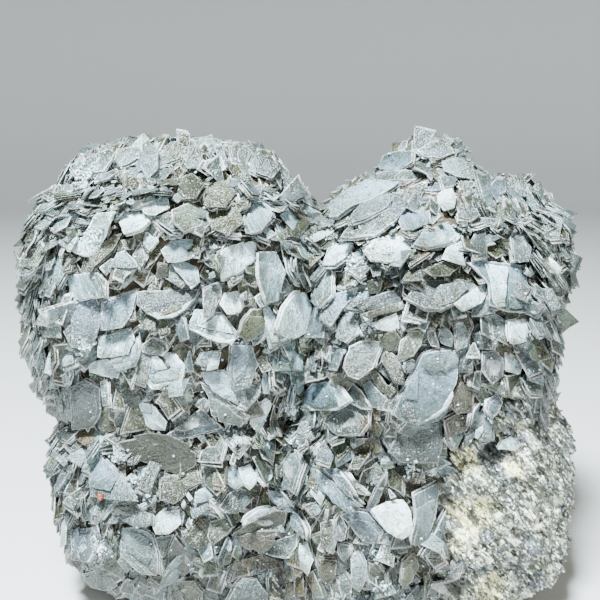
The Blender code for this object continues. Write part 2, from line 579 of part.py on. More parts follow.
def main():
    for old in list(bpy.data.objects):
        bpy.data.objects.remove(old)
    quartz = finish_material("quartz", (0.72, 0.69, 0.60), 0.75)
    calcite = finish_material("calcite", (0.70, 0.73, 0.72), 0.45)
    socket = as_tool(object_of(joined(ROCK, grow=GAP, rough=ROUGH), "rock_socket"))
    make_rock(quartz)
    make_crust(calcite, socket)
    make_lone_blades(calcite, socket)


main()
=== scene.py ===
# %% [markdown]
# # Platy calcite on quartz
# The real object is a hand specimen: two knobbly mounds of quartz rock, crusted with thousands of thin, flat
# calcite blades that overlap like shingles. The rock is bare at the lower right, at the back and underneath.
# This lesson loads the plain solids of the specimen as a fixed frame and dresses them: a dark ground under
# the blades, the large blades one by one, small blades by the thousand, the rock with its grains, and a
# crust of sugar-fine crystals.
# A sculpting brush or a particle system could cover the mounds too. Modelled blades are used here, because
# each one then has a real edge, a real thickness and a place that a few numbers can change.

# %% Load the frame
import math
import random
from itertools import product

import bpy
import numpy as np
from mathutils import Matrix, Vector, noise
from mathutils.bvhtree import BVHTree


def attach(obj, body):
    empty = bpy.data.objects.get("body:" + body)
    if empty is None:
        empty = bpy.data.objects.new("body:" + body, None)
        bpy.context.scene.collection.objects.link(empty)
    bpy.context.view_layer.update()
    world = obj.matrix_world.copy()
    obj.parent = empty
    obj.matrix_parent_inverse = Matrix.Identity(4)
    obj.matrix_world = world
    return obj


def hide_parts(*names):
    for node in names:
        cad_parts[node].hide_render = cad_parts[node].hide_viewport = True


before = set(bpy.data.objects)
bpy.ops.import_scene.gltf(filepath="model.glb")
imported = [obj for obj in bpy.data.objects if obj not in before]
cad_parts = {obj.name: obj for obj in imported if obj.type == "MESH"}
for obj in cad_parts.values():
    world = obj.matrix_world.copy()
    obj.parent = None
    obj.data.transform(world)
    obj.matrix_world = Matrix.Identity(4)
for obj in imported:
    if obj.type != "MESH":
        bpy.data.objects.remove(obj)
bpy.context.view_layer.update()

MM = 0.001

# %% [markdown]
# ## The mounds and the rock as formulas
# Each mound and each lump of rock is a squared-off ellipsoid: a ball whose radii differ and whose sides are a
# little flattened. One formula gives the surface point in any direction, and another tells whether a point is
# inside. The same numbers shape the solids in the frame, so what is built on them stays in place. All lengths
# below are in millimetres, and each piece is turned into metres when its mesh is made.

# %% The forms
# centre, radii, squareness (2 is a true ellipsoid)
MOUNDS = {
    "left_upper": ((-22.5, 0.0, 57.0), (28.0, 24.0, 28.5), 2.6),
    "left_lower": ((-22.0, -2.0, 23.0), (25.0, 23.0, 25.0), 2.3),
    "right_upper": ((22.5, -1.0, 50.0), (25.0, 25.0, 30.0), 2.4),
    "right_knob": ((24.0, 4.0, 75.0), (10.0, 12.0, 10.0), 2.2),
    "right_back": ((39.0, 7.0, 62.0), (13.0, 16.0, 16.0), 2.3),
    "right_lower": ((13.0, -7.0, 20.0), (18.0, 18.0, 24.0), 2.5),
}
ROCK = {
    "back_left": ((-22.0, 9.0, 40.0), (24.5, 20.0, 41.0), 3.4),
    "back_right": ((25.0, 9.0, 38.0), (23.0, 20.0, 39.0), 3.4),
    "back_middle": ((0.0, 12.0, 30.0), (30.0, 15.0, 35.0), 3.0),
    "foot": ((0.0, 0.0, 16.0), (40.0, 14.0, 22.0), 3.0),
    "right_foot": ((33.0, -3.0, 22.0), (17.0, 20.0, 24.0), 2.6),
}
LUMPS = MOUNDS | ROCK


def level(name, point):
    """How far out a point is in a lump's own terms: below 1 inside it, 1 on it."""
    centre, radii, square = LUMPS[name]
    return sum(abs((p - c) / r) ** square for p, c, r in zip(point, centre, radii))


def outward(point, names):
    """The smooth outward normal at a point, from the lump that it lies on."""
    name = min(names, key=lambda one: level(one, point))
    centre, radii, square = LUMPS[name]
    slope = [
        math.copysign(abs((p - c) / r) ** (square - 1.0) / r, p - c)
        for p, c, r in zip(point, centre, radii)
    ]
    return Vector(slope).normalized()


def skin_point(name, way, grow=0.0):
    """The point of a lump's surface in a direction from its centre, moved outwards by grow."""
    centre, radii, square = LUMPS[name]
    reach = sum(abs(part) ** square for part in way) ** (-1.0 / square)
    skin = Vector([part * reach * radius for part, radius in zip(way, radii)])
    return Vector(centre) + skin + skin.normalized() * grow


print("mounds:", len(MOUNDS), "lumps of rock:", len(ROCK))

# %% [markdown]
# ## The camera
# The eye looks at the front from a little above. The drawing sheet of the front stands square to that line of
# sight, six units to the millimetre, and the large blades are drawn on it, so the sheet and the camera share
# their numbers: the lens is the one whose frame is exactly as wide as the sheet.

# %% The front sheet and the camera
SHEET_UNITS = 6.0
SHEET_SIDE = 600.0
SHEET_MIDDLE = (SHEET_SIDE / 2, SHEET_SIDE / 2)
SHEET_CENTRE = Vector((0.0, -20.0, 60.0))
SHEET_TILT = math.radians(12)
EYE_DISTANCE = 150.0
SENSOR_WIDTH = 36.0
NEAREST_SEEN = 0.001  # in metres
ACROSS = Vector((1.0, 0.0, 0.0))
AHEAD = Vector((0.0, math.cos(SHEET_TILT), -math.sin(SHEET_TILT)))
UPWARD = Vector((0.0, math.sin(SHEET_TILT), math.cos(SHEET_TILT)))
EYE = SHEET_CENTRE - AHEAD * EYE_DISTANCE


def sheet_point(u, v):
    """The place in space of a point of the front sheet."""
    right = (u - SHEET_MIDDLE[0]) / SHEET_UNITS
    up = (SHEET_MIDDLE[1] - v) / SHEET_UNITS
    return SHEET_CENTRE + ACROSS * right + UPWARD * up


def sight(u, v):
    """The unit direction of the line of sight through a point of the sheet."""
    return (sheet_point(u, v) - EYE).normalized()


def on_sheet(points):
    """Where one point in space, or an array of them, is seen on the front sheet."""
    seen = np.array(points) - np.array(EYE)
    scale = EYE_DISTANCE * SHEET_UNITS / (seen @ np.array(AHEAD))
    across = SHEET_MIDDLE[0] + seen @ np.array(ACROSS) * scale
    down = SHEET_MIDDLE[1] - seen @ np.array(UPWARD) * scale
    return across, down


def sheet_way(degrees):
    """A direction within the sheet: 0 is right, 90 up and 180 left."""
    angle = math.radians(degrees)
    return ACROSS * math.cos(angle) + UPWARD * math.sin(angle)


def add_camera():
    """The camera at the eye, with the lens that frames the sheet."""
    bpy.ops.object.camera_add(location=EYE * MM, rotation=(math.pi / 2 - SHEET_TILT, 0.0, 0.0))
    camera = bpy.context.active_object
    camera.name = "camera"
    camera.data.sensor_width = SENSOR_WIDTH
    camera.data.lens = SENSOR_WIDTH * EYE_DISTANCE * SHEET_UNITS / SHEET_SIDE
    camera.data.clip_start = NEAREST_SEEN
    bpy.context.scene.camera = camera
    return camera


camera = add_camera()
print("camera lens:", round(camera.data.lens, 1), "mm")

# %% [markdown]
# ## Shader maths as plain expressions
# A procedural material is a net of small maths nodes. Written one by one they are hard to read, so a socket
# is wrapped in a class that overloads the operators: `1 - mask * 0.5` adds its own Math nodes. Every other
# node comes from one method that takes its type, its settings and the values of its sockets.

# %% The wrapped socket
class Value:
    """A number that varies over a surface, as the output socket of a node."""

    def __init__(self, tree, socket):
        self.tree = tree
        self.socket = socket

    def maths(self, operation, first, second, clamp=False):
        """One Math node on two values or numbers."""
        node = self.tree.nodes.new("ShaderNodeMath")
        node.operation = operation
        node.use_clamp = clamp
        for slot, value in zip(node.inputs, (first, second)):
            if isinstance(value, Value):
                self.tree.links.new(value.socket, slot)
            else:
                slot.default_value = value
        return Value(self.tree, node.outputs[0])

    def __add__(self, other):
        return self.maths("ADD", self, other)

    def __radd__(self, other):
        return self.maths("ADD", other, self)

    def __sub__(self, other):
        return self.maths("SUBTRACT", self, other)

    def __rsub__(self, other):
        return self.maths("SUBTRACT", other, self)

    def __mul__(self, other):
        return self.maths("MULTIPLY", self, other)

    def __rmul__(self, other):
        return self.maths("MULTIPLY", other, self)

    def __abs__(self):
        return self.maths("ABSOLUTE", self, 0.0)

    def above(self, other):
        """The larger of the two."""
        return self.maths("MAXIMUM", self, other)

    def clamped(self):
        """The value kept between 0 and 1."""
        return self.maths("MULTIPLY", self, 1.0, clamp=True)

    def part(self):
        """What is left above the whole number: a slope that falls back again and again."""
        return self.maths("FRACT", self, 0.0)


# %% The finish helper
class Finish:
    """A material in the making: its node tree, its shader and the nodes that are added to it."""

    def __init__(self, name, roughness, ior, transmission=0.0):
        self.material = bpy.data.materials.new(name)
        self.material.use_nodes = True
        self.tree = self.material.node_tree
        self.shader = self.tree.nodes["Principled BSDF"]
        self.set("Roughness", roughness)
        self.set("IOR", ior)
        self.set("Transmission Weight", transmission)
        self.place = self.node("ShaderNodeTexCoord").outputs["Object"]

    def set(self, socket, value):
        """Puts a constant on the shader's own socket."""
        self.shader.inputs[socket].default_value = value

    def node(self, kind, settings=None, **sockets):
        """Adds one node. Settings come first, then the values or links of its sockets."""
        node = self.tree.nodes.new(kind)
        for name, value in (settings or {}).items():
            setattr(node, name, value)
        for name, value in sockets.items():
            self.feed(node.inputs[name], value)
        return node

    def feed(self, slot, value):
        """Links a value to a socket, or sets a plain number or colour on it."""
        if isinstance(value, Value):
            value = value.socket
        if isinstance(value, bpy.types.NodeSocket):
            self.tree.links.new(value, slot)
        else:
            slot.default_value = value

    def noise(self, size, detail=2.0, roughness=0.5, place=None):
        """Cloudy noise whose lumps are about size millimetres across."""
        node = self.node("ShaderNodeTexNoise", Vector=place or self.place, Scale=1.0 / (size * MM),
                         Detail=detail, Roughness=roughness)
        return Value(self.tree, node.outputs["Fac"])

    def cells(self, size, feature="F1", place=None):
        """Cells about size millimetres across, as in packed grains."""
        node = self.node("ShaderNodeTexVoronoi", {"feature": feature}, Vector=place or self.place,
                         Scale=1.0 / (size * MM))
        return Value(self.tree, node.outputs["Distance"])

    def attribute(self, name, output="Fac"):
        """A value that each blade carries on its own points."""
        node = self.node("ShaderNodeAttribute", {"attribute_name": name})
        return Value(self.tree, node.outputs[output])

    def ramp(self, value, low, high):
        """0 below low, 1 above high and a smooth rise between them."""
        node = self.node("ShaderNodeMapRange", {"interpolation_type": "SMOOTHSTEP"},
                         **{"Value": value, "From Min": low, "From Max": high})
        return Value(self.tree, node.outputs["Result"])

    def mix(self, share, first, second, blend="MIX"):
        """Two colours mixed by a share from 0 to 1."""
        node = self.node("ShaderNodeMix", {"data_type": "RGBA", "blend_type": blend})
        self.feed(node.inputs["Factor"], share)
        colours = [slot for slot in node.inputs if slot.type == "RGBA"]
        for slot, colour in zip(colours, (first, second)):
            self.feed(slot, colour if not isinstance(colour, tuple) else (*colour, 1.0))
        return Value(self.tree, next(slot for slot in node.outputs if slot.type == "RGBA"))

    def colour(self, value):
        """Links the colour of the surface."""
        self.feed(self.shader.inputs["Base Color"], value)

    def vary_roughness(self, value):
        """Links a roughness that changes over the surface."""
        self.feed(self.shader.inputs["Roughness"], value)

    def bump(self, height, distance):
        """Fine relief, distance millimetres high."""
        node = self.node("ShaderNodeBump", Height=height, Distance=distance * MM, Strength=1.0)
        self.feed(self.shader.inputs["Normal"], node.outputs["Normal"])


# %% [markdown]
# ## The finish of the blades
# Platy calcite is translucent and grey where it is thick enough to look into, and almost white where it is
# frosted: on its rims, on growth steps and where sugar-fine crystals have settled. Each blade carries values
# on its points. `tint` is its colour, which also holds painted light and shade, with the wear of its rim as a
# fourth part. `edge` is a point's distance from the blade's edge, and `free` runs from 0 at the root to 1 at
# the free end. `grain` is the place within the blade's own plane, stretched along one direction, so every
# blade has streaks of its own. `druse` and `painted_shade` say how near a point is to a white place, or to a
# place where brown shade is painted. The material whitens the rim, brighter toward the free end as a painted
# highlight, paints shade toward the root and light toward the free end, clouds the face and roughens what is
# frosted. Plain transmission lets some light through.

# %% Calcite
TINTS = {
    "frosted": (0.46, 0.59, 0.63),
    "milky": (0.20, 0.285, 0.315),
    "ice": (0.135, 0.198, 0.238),
    "pale": (0.112, 0.147, 0.152),
    "blue": (0.088, 0.12, 0.14),
    "green": (0.08, 0.10, 0.074),
    "grey": (0.068, 0.087, 0.083),
    "olive": (0.066, 0.072, 0.042),
    "slate": (0.047, 0.06, 0.061),
    "dusk": (0.043, 0.047, 0.031),
    "brown": (0.037, 0.033, 0.019),
}
# how much of the white wear a blade of each tint takes
WEAR = {"olive": 0.5, "slate": 0.6, "dusk": 0.35, "brown": 0.25}
FROST = (0.82, 0.98, 1.0)
CHALK = (0.42, 0.55, 0.60)
RIM = (1.0, 1.0, 1.0)
# the brown of the cracks, and of the shade painted into gaps and under blades
CRACK_AND_SHADE_BROWN = (0.06, 0.045, 0.02)
GROWTH_LINE = (0.05, 0.05, 0.04)
# what a tint is multiplied by at its dull end, which is also warm painted shade toward the root, and at its
# bright end, which is also painted light toward the free end
DULL_AND_SHADED = (0.30, 0.30, 0.21)
BRIGHT_AND_LIT = (1.34, 1.40, 1.50)
CALCITE_IOR = 1.55
STREAK_SIZE = 1.0
CLOUD_SIZE = 3.5
FINE_SIZE = 0.36
DOT_GAP = 0.9
CRACK_GAP = 1.7
RIM_REACH = (0.04, 0.18)  # the white rim is whole nearer to the edge than the first, gone past the second
CRACK_REACH = (0.004, 0.02)
RELIEF = 0.15


def calcite_finish(name, transmission, frost):
    """Calcite that lets this share of light through. Frost is the strength of its white patches."""
    finish = Finish(name, roughness=0.4, ior=CALCITE_IOR, transmission=transmission)
    worn = finish.attribute("tint", "Alpha")
    free = finish.attribute("free")
    druse = finish.attribute("druse")
    grain = finish.attribute("grain", "Vector")
    streak = finish.noise(STREAK_SIZE, detail=4.0, roughness=0.6, place=grain)
    cloud = finish.noise(CLOUD_SIZE, detail=3.0, roughness=0.6)
    fine = finish.noise(FINE_SIZE, roughness=0.6)
    speck = fine - 0.5

    # the face: streaked and clouded, with painted shade toward its root and painted light toward its free
    # end, and thin growth lines
    here = finish.ramp(cloud + (streak - 0.5) * 0.5, 0.4, 0.56)
    light = streak * 0.5 + free * 0.4 + speck * (here * 0.7 + 0.15)
    shade = finish.mix(finish.ramp(light, 0.14, 0.80), DULL_AND_SHADED, BRIGHT_AND_LIT)
    body = finish.mix(1.0, finish.attribute("tint", "Color"), shade, "MULTIPLY")
    steps = (streak * 5.0 + cloud * 2.0).part()
    body = finish.mix(finish.ramp(steps, 0.88, 0.99) * 0.35, body, GROWTH_LINE)

    # white patches and sugar, less of them on a dark blade
    settled = streak * 0.45 + cloud * 0.4 + speck * 0.6 + worn * 0.26 - 0.16 + druse * 0.18
    pale = finish.ramp(finish.attribute("tint"), 0.05, 0.13) * 0.8 + 0.2
    patch = finish.ramp(settled, 0.56, 0.63) * frost * pale
    dots = 1.0 - finish.ramp(finish.cells(DOT_GAP), 0.06, 0.12)
    sugar = dots * finish.ramp(cloud + speck * 0.6 + druse * 0.2, 0.5, 0.6)
    white = (patch + sugar * (pale * 0.2 + 0.04)).clamped()
    # the rim is frosted white, made brighter toward the free end as a painted highlight where that edge
    # catches the light
    rim = (1.0 - finish.ramp(finish.attribute("edge") + speck * 0.25, *RIM_REACH)) * worn * (0.4 + here * 0.6)
    rim = (rim * (0.45 + free * 0.9)).clamped()

    # painted brown shade in the gaps and under blades, and dark cracks
    painted_shade = finish.ramp(finish.attribute("painted_shade") + (cloud - 0.5) * 0.8, 0.2, 0.9) * 0.8
    split = finish.cells(CRACK_GAP, "DISTANCE_TO_EDGE", grain) + speck * 0.03
    cracks = (1.0 - finish.ramp(split, *CRACK_REACH)) * finish.ramp(finish.noise(CRACK_GAP), 0.47, 0.55)
    body = finish.mix(cracks * 0.85, finish.mix(painted_shade, body, CRACK_AND_SHADE_BROWN), CRACK_AND_SHADE_BROWN)
    white = white * (1.0 - cracks * 0.8)
    rim = rim * (1.0 - cracks * 0.8)

    frosting = finish.mix(finish.ramp(streak * 0.5 + fine * 0.6, 0.42, 0.62), CHALK, FROST)
    finish.colour(finish.mix(rim, finish.mix(white, body, frosting), RIM))
    finish.vary_roughness(0.15 + white * 0.4 + fine * 0.2)
    finish.bump(fine * 1.5 + streak * 1.3 + white * 0.6 + steps * 0.7 - cracks, RELIEF)
    return finish.material


clear_calcite = calcite_finish("clear_calcite", transmission=0.18, frost=0.5)
frosted_calcite = calcite_finish("frosted_calcite", transmission=0.05, frost=0.9)
print("calcite finishes:", clear_calcite.name, frosted_calcite.name)

# %% [markdown]
# ## The ground under the blades
# Deep between the blades lies a ground painted dark brown, as the shade that fills the gaps. It shows only in
# the gaps, but without it the eye would fall through. It is made as in clay: one ball for each mound is
# pushed into its squared-off form, the balls are joined, and a voxel remesh fuses them to one skin. Random
# hollows finish it.

# %% Shape a set of lumps into one skin
BALL_SEGMENTS = 64
BALL_RINGS = 40


def start_clean():
    """Object mode with nothing selected, so that an operator acts only on what is added next."""
    if bpy.context.mode != "OBJECT":
        bpy.ops.object.mode_set(mode="OBJECT")
    bpy.ops.object.select_all(action="DESELECT")


def fused_lumps(name, lumps, grow, voxel):
    """Balls pushed into the lumps' forms and fused by a voxel remesh, as one object in metres."""
    start_clean()
    balls = []
    for lump in lumps:
        bpy.ops.mesh.primitive_uv_sphere_add(segments=BALL_SEGMENTS, ring_count=BALL_RINGS, radius=1.0)
        ball = bpy.context.active_object
        for vert in ball.data.vertices:
            vert.co = skin_point(lump, vert.co.normalized(), grow) * MM
        balls.append(ball)
    for ball in balls:
        ball.select_set(True)
    bpy.context.view_layer.objects.active = balls[0]
    bpy.ops.object.join()
    whole = bpy.context.active_object
    whole.name = name
    whole.data.name = name
    fuse = whole.modifiers.new("Fuse", "REMESH")
    fuse.mode = "VOXEL"
    fuse.voxel_size = voxel * MM
    bpy.ops.object.modifier_apply(modifier=fuse.name)
    return whole


def push_along_normals(piece, height):
    """Moves each point of a mesh along its normal by height(point) millimetres."""
    normals = [vert.normal.copy() for vert in piece.data.vertices]
    for vert, normal in zip(piece.data.vertices, normals):
        vert.co = vert.co + normal * (height(vert.co / MM) * MM)


def cut_flat(piece, height):
    """Cuts a closed piece off flat at a height in millimetres and fills the cut."""
    start_clean()
    bpy.context.view_layer.objects.active = piece
    piece.select_set(True)
    bpy.ops.object.mode_set(mode="EDIT")
    bpy.ops.mesh.select_all(action="SELECT")
    bpy.ops.mesh.bisect(plane_co=(0, 0, height * MM), plane_no=(0, 0, 1), use_fill=True, clear_inner=True)
    bpy.ops.object.mode_set(mode="OBJECT")


# %% The ground
GROUND_VOXEL = 0.9
GROUND_DEPTH = -2.2
GROUND_PITS = ((0.9, 3.2), (0.6, 1.3))  # height and size of its lumps and pits
FOOT_GAP = 0.3  # nothing but the rock reaches lower than this
# the dark browns of the ground are painted shade, for the gaps deep between the blades
GROUND_SHADE_DARK = (0.030, 0.024, 0.012)
GROUND_SHADE_PALE = (0.12, 0.10, 0.06)
EARTH_DUST = (0.16, 0.17, 0.15)


def ground_hollows(place):
    """Lumps and pits of the earthy ground."""
    return sum(height * noise.noise(place / size) for height, size in GROUND_PITS)


ground = fused_lumps("crust_ground", MOUNDS, GROUND_DEPTH, GROUND_VOXEL)
push_along_normals(ground, ground_hollows)
cut_flat(ground, FOOT_GAP)
bpy.ops.object.shade_smooth()
print("ground:", len(ground.data.polygons), "faces")


def ground_finish():
    """Dark brown, painted as the shade deep in the gaps, with paler dust on it."""
    finish = Finish("crust_ground", roughness=0.85, ior=1.5)
    light = finish.ramp(finish.noise(2.4, detail=4.0), 0.35, 0.7)
    shade_fill = finish.mix(light, GROUND_SHADE_DARK, GROUND_SHADE_PALE)
    dust = finish.ramp(finish.noise(0.6, detail=4.0, roughness=0.7), 0.55, 0.75) * 0.6
    finish.colour(finish.mix(dust, shade_fill, EARTH_DUST))
    finish.bump(finish.noise(0.5, detail=5.0, roughness=0.7), 0.35)
    return finish.material


ground.data.materials.append(ground_finish())

# %% [markdown]
# ## White druse, painted shade and bare rock
# Sugar-fine calcite has settled on some places as a white crust, some gaps, pockets and undersides of blades
# are painted brown as shade, and at the lower right no blades have grown. These places are named on the front
# sheet, each with its middle and its radius. Each point of a blade notes how near it is to one, and the
# finish whitens it there or paints brown shade on it. The bare places keep small blades away.

# %% Places of druse, painted shade and bare rock
DRUSE_SPOTS = {
    "corner_edge": (86, 176, 15),
    "left_shoulder": (92, 236, 15),
    "left_ledge": (85, 350, 10),
    "diagonal_top": (118, 459, 10),
    "diagonal_middle": (135, 478, 11),
    "diagonal_foot": (153, 499, 10),
    "rosette": (240, 440, 11),
    "valley_upper": (292, 412, 9),
    "valley_lower": (293, 442, 9),
    "chalk_upper": (382, 246, 17),
    "chalk_left": (354, 262, 13),
    "chalk_middle": (356, 290, 12),
    "chalk_lower": (366, 326, 12),
    "right_cap": (458, 236, 13),
    "band_left": (410, 470, 9),
    "band_right": (433, 472, 9),
    "foot_upper": (378, 556, 10),
    "foot_lower": (385, 587, 10),
    "left_foot": (100, 548, 11),
}
# the places where brown shade is painted: gaps, pockets and the undersides of blades
SHADE_SPOTS = {
    "left_gap": (112, 281, 11),
    "left_gap_end": (139, 281, 10),
    "under_hexagon": (162, 400, 10),
    "under_hexagon_right": (185, 400, 9),
    "left_pocket": (86, 440, 12),
    "by_small_hexagon": (232, 283, 9),
    "dark_hole": (409, 275, 7),
    "brown_hole": (424, 252, 9),
    "top_gap": (460, 195, 9),
    "top_slit": (408, 185, 7),
    "right_gap": (512, 349, 12),
    "under_largest": (372, 424, 13),
    "under_largest_foot": (372, 447, 10),
    "band_gap": (415, 481, 9),
    "foot_gap": (415, 552, 9),
    "foot_gap_right": (447, 562, 9),
    "diamond_gap": (220, 490, 10),
    "low_gap": (245, 570, 9),
    "bottom_recess": (295, 583, 24),
}
BARE_SPOTS = {
    "cap": (466, 458, 12),
    "above": (484, 462, 20),
    "right": (510, 460, 22),
    "edge_upper": (516, 420, 16),
    "edge_top": (518, 390, 10),
    "middle": (478, 490, 24),
    "left": (464, 520, 14),
    "low": (466, 545, 14),
    "foot": (470, 578, 20),
}
CRUST_MARKS = {"druse": DRUSE_SPOTS, "painted_shade": SHADE_SPOTS}
FRONT_DEPTH = 8.0  # the spots mark the crust in front of this depth, in millimetres
SPOT_REACH = 1.4  # in radii


def near_spots(points, spots):
    """For each point, 1 in the middle of a spot of the front, falling to 0 at its reach."""
    across, down = on_sheet(points)
    share = np.zeros(len(points))
    for spot_u, spot_v, radius in spots.values():
        distance = np.hypot(across - spot_u, down - spot_v) / radius
        share = np.maximum(share, np.clip(SPOT_REACH - distance, 0.0, 1.0))
    return share * (points[:, 1] < FRONT_DEPTH)


def about(spot, angle, reach):
    """The place on the sheet at an angle and a distance from the middle of a spot."""
    return spot[0] + math.cos(angle) * reach, spot[1] + math.sin(angle) * reach


print("places of druse, stain and bare rock:", len(DRUSE_SPOTS), len(SHADE_SPOTS), len(BARE_SPOTS))

# %% [markdown]
# ## One plate, modelled as by hand
# A plate starts as a filled circle with one point for each station of its outline. The points are pushed
# onto the outline, the face is extruded to the plate's thickness, and then extruded and scaled again and
# again: a narrow lip that catches the light, the bright rim, and the face. A plane cut from a sheet would
# have sharp, dead edges. Each point then notes its own distance from the edge, which is all that the finish
# needs to know about the rim.

# %% The plate
LIP = 0.07  # the worn edge of a plate, in millimetres
FACE_RINGS = (0.3, 0.9)  # how far in from the edge the rings of a large face lie, in millimetres
SMALLEST = 0.25  # the face's last ring keeps at least this share of the outline


def stations(outline, step):
    """The corners of an outline with further stations between them, about a step apart."""
    points = []
    for here, after in zip(outline, outline[1:] + outline[:1]):
        parts = max(1, round((after - here).length / step))
        points += [here.lerp(after, part / parts) for part in range(parts)]
    return points


def from_edge(points, outline):
    """Each point's distance from the nearest side of an outline, in the XY plane."""
    flat = np.array([point[:2] for point in points])[:, None, :]
    start = np.array([corner[:2] for corner in outline])[None, :, :]
    side = np.roll(start, -1, axis=1) - start
    share = ((flat - start) * side).sum(axis=2) / np.maximum((side ** 2).sum(axis=2), 1e-9)
    nearest = start + side * np.clip(share, 0.0, 1.0)[..., None]
    return np.sqrt(((flat - nearest) ** 2).sum(axis=2)).min(axis=1)


def model_plate(points, thick, face_rings):
    """One closed plate on the XY plane in millimetres, its face up."""
    start_clean()
    middle = sum(points, Vector((0.0, 0.0))) / len(points)
    room = from_edge([middle], points)[0]
    bpy.ops.mesh.primitive_circle_add(vertices=len(points), radius=1.0, fill_type="NGON")
    plate = bpy.context.active_object
    for vert, point in zip(plate.data.vertices, points):
        vert.co = (point.x, point.y, 0.0)
    bpy.ops.object.mode_set(mode="EDIT")
    bpy.ops.mesh.select_all(action="SELECT")
    size, height = 1.0, 0.0
    steps = [(0.0, thick - LIP * 0.5), (LIP, thick)] + [(inset, thick) for inset in face_rings]
    for inset, rise in steps:
        new_size = max(SMALLEST, 1.0 - inset / room)
        bpy.ops.mesh.extrude_region_move(TRANSFORM_OT_translate={"value": (0.0, 0.0, rise - height)})
        bpy.ops.transform.resize(value=(new_size / size,) * 2 + (1.0,), center_override=(*middle, rise))
        size, height = new_size, rise
        if size == SMALLEST:
            break
    bpy.ops.mesh.select_all(action="SELECT")
    bpy.ops.mesh.normals_make_consistent(inside=False)
    bpy.ops.object.mode_set(mode="OBJECT")
    return plate


# %% [markdown]
# ## Thousands of copies in one mesh
# An object for every crystal would make the file heavy and slow. So each pattern is modelled once, its points
# and faces are kept as a form, and a heap collects moved copies of forms until they become one mesh. Each
# copy brings its own tint, streaks and wear as values on its points, so one material can finish them all.

# %% Copies in one mesh
STREAK_TURNS = (0.0, 1.0, 2.1)  # the ways that a blade's streaks can run, in radians
STREAK_ASTRAY = 0.2
STREAK_STRETCH = 0.3
SEEDS = 500  # the streaks of two copies lie up to this far apart in the noise
LUMP_EDGE = 0.5  # a lump has no rim, so its points note this share of its size as their distance from it
NOTES = {"edge": "FLOAT", "free": "FLOAT", "tint": "FLOAT_COLOR", "grain": "FLOAT_VECTOR"}
ATTRIBUTE_FIELDS = {"FLOAT": "value", "FLOAT_COLOR": "color", "FLOAT_VECTOR": "vector"}


def points_of(mesh):
    """The places of a mesh's points as an array."""
    return np.array([vert.co[:] for vert in mesh.vertices])


def note_on_points(mesh, name, kind, values):
    """Writes a value for each point of a mesh, for its finish to read."""
    layer = mesh.attributes.new(name, kind, "POINT")
    layer.data.foreach_set(ATTRIBUTE_FIELDS[kind], values.astype(np.float32).ravel())


class Form:
    """The points and faces of a modelled mesh, so that copies of it can be laid out by the thousand."""

    def __init__(self, made, finish=0):
        mesh = made.data
        self.points = points_of(mesh)
        self.corners = np.array([loop.vertex_index for loop in mesh.loops])
        self.sizes = np.array([len(face.vertices) for face in mesh.polygons])
        self.edge = np.full(len(self.points), LUMP_EDGE)
        self.finish = finish
        bpy.data.objects.remove(made)

    def moved(self, matrix):
        """The points turned and moved by a matrix."""
        turned = np.array(matrix.to_3x3()) @ self.points.T
        return turned.T + np.array(matrix.translation)


class Plate(Form):
    """A plate, whose points know how far they are from its edge."""

    def __init__(self, outline, thick, finish=0, face_rings=FACE_RINGS):
        super().__init__(model_plate(outline, thick, face_rings), finish)
        self.edge = from_edge(self.points, outline)
        self.outer = self.points[self.edge < LIP * 0.5]


class Heap:
    """Copies of forms on their way into one joined mesh."""

    def __init__(self, name, finishes, marks=CRUST_MARKS):
        self.name = name
        self.finishes = finishes
        self.marks = marks
        self.points, self.corners, self.sizes, self.finish = [], [], [], []
        self.notes = {note: [] for note in NOTES}
        self.count = 0

    def lay(self, form, matrix, tint, worn, rng):
        """One copy of a form, placed by a matrix, with its own colour, its own streaks and its own wear."""
        points = form.moved(matrix)
        if points[:, 2].min() < FOOT_GAP:
            return
        size = matrix.to_scale()
        turn = Matrix.Rotation(rng.choice(STREAK_TURNS) + rng.uniform(-STREAK_ASTRAY, STREAK_ASTRAY), 2)
        local = form.points[:, :2] * (size.x, size.y) @ np.array(turn)
        seed = np.full((len(points), 1), rng.uniform(0, SEEDS))
        along = form.points[:, 1]
        self.notes["edge"].append(form.edge * min(size.x, size.y))
        self.notes["free"].append((along.max() - along) / (along.max() - along.min()))
        self.notes["tint"].append(np.tile((*tint, worn), (len(points), 1)))
        self.notes["grain"].append(np.hstack((local * (1.0, STREAK_STRETCH), seed)) * MM)
        self.corners.append(form.corners + self.count)
        self.points.append(points)
        self.sizes.append(form.sizes)
        self.finish.append(np.full(len(form.sizes), form.finish))
        self.count += len(points)

    def make(self):
        """The joined mesh as one object at the origin, in metres."""
        mesh = bpy.data.meshes.new(self.name)
        points = np.concatenate(self.points)
        corners = np.concatenate(self.corners)
        sizes = np.concatenate(self.sizes)
        mesh.vertices.add(len(points))
        mesh.vertices.foreach_set("co", (points * MM).astype(np.float32).ravel())
        mesh.loops.add(len(corners))
        mesh.loops.foreach_set("vertex_index", corners.astype(np.int32))
        mesh.polygons.add(len(sizes))
        starts = np.concatenate(([0], np.cumsum(sizes)[:-1]))
        mesh.polygons.foreach_set("loop_start", starts.astype(np.int32))
        mesh.polygons.foreach_set("material_index", np.concatenate(self.finish).astype(np.int32))
        mesh.update(calc_edges=True)
        for name, kind in NOTES.items():
            note_on_points(mesh, name, kind, np.concatenate(self.notes[name]))
        for name, spots in self.marks.items():
            note_on_points(mesh, name, "FLOAT", near_spots(points, spots))
        for finish in self.finishes:
            mesh.materials.append(finish)
        made = bpy.data.objects.new(self.name, mesh)
        bpy.context.scene.collection.objects.link(made)
        print(self.name, ":", len(self.sizes), "forms,", sum(sizes - 2), "triangles")
        return made
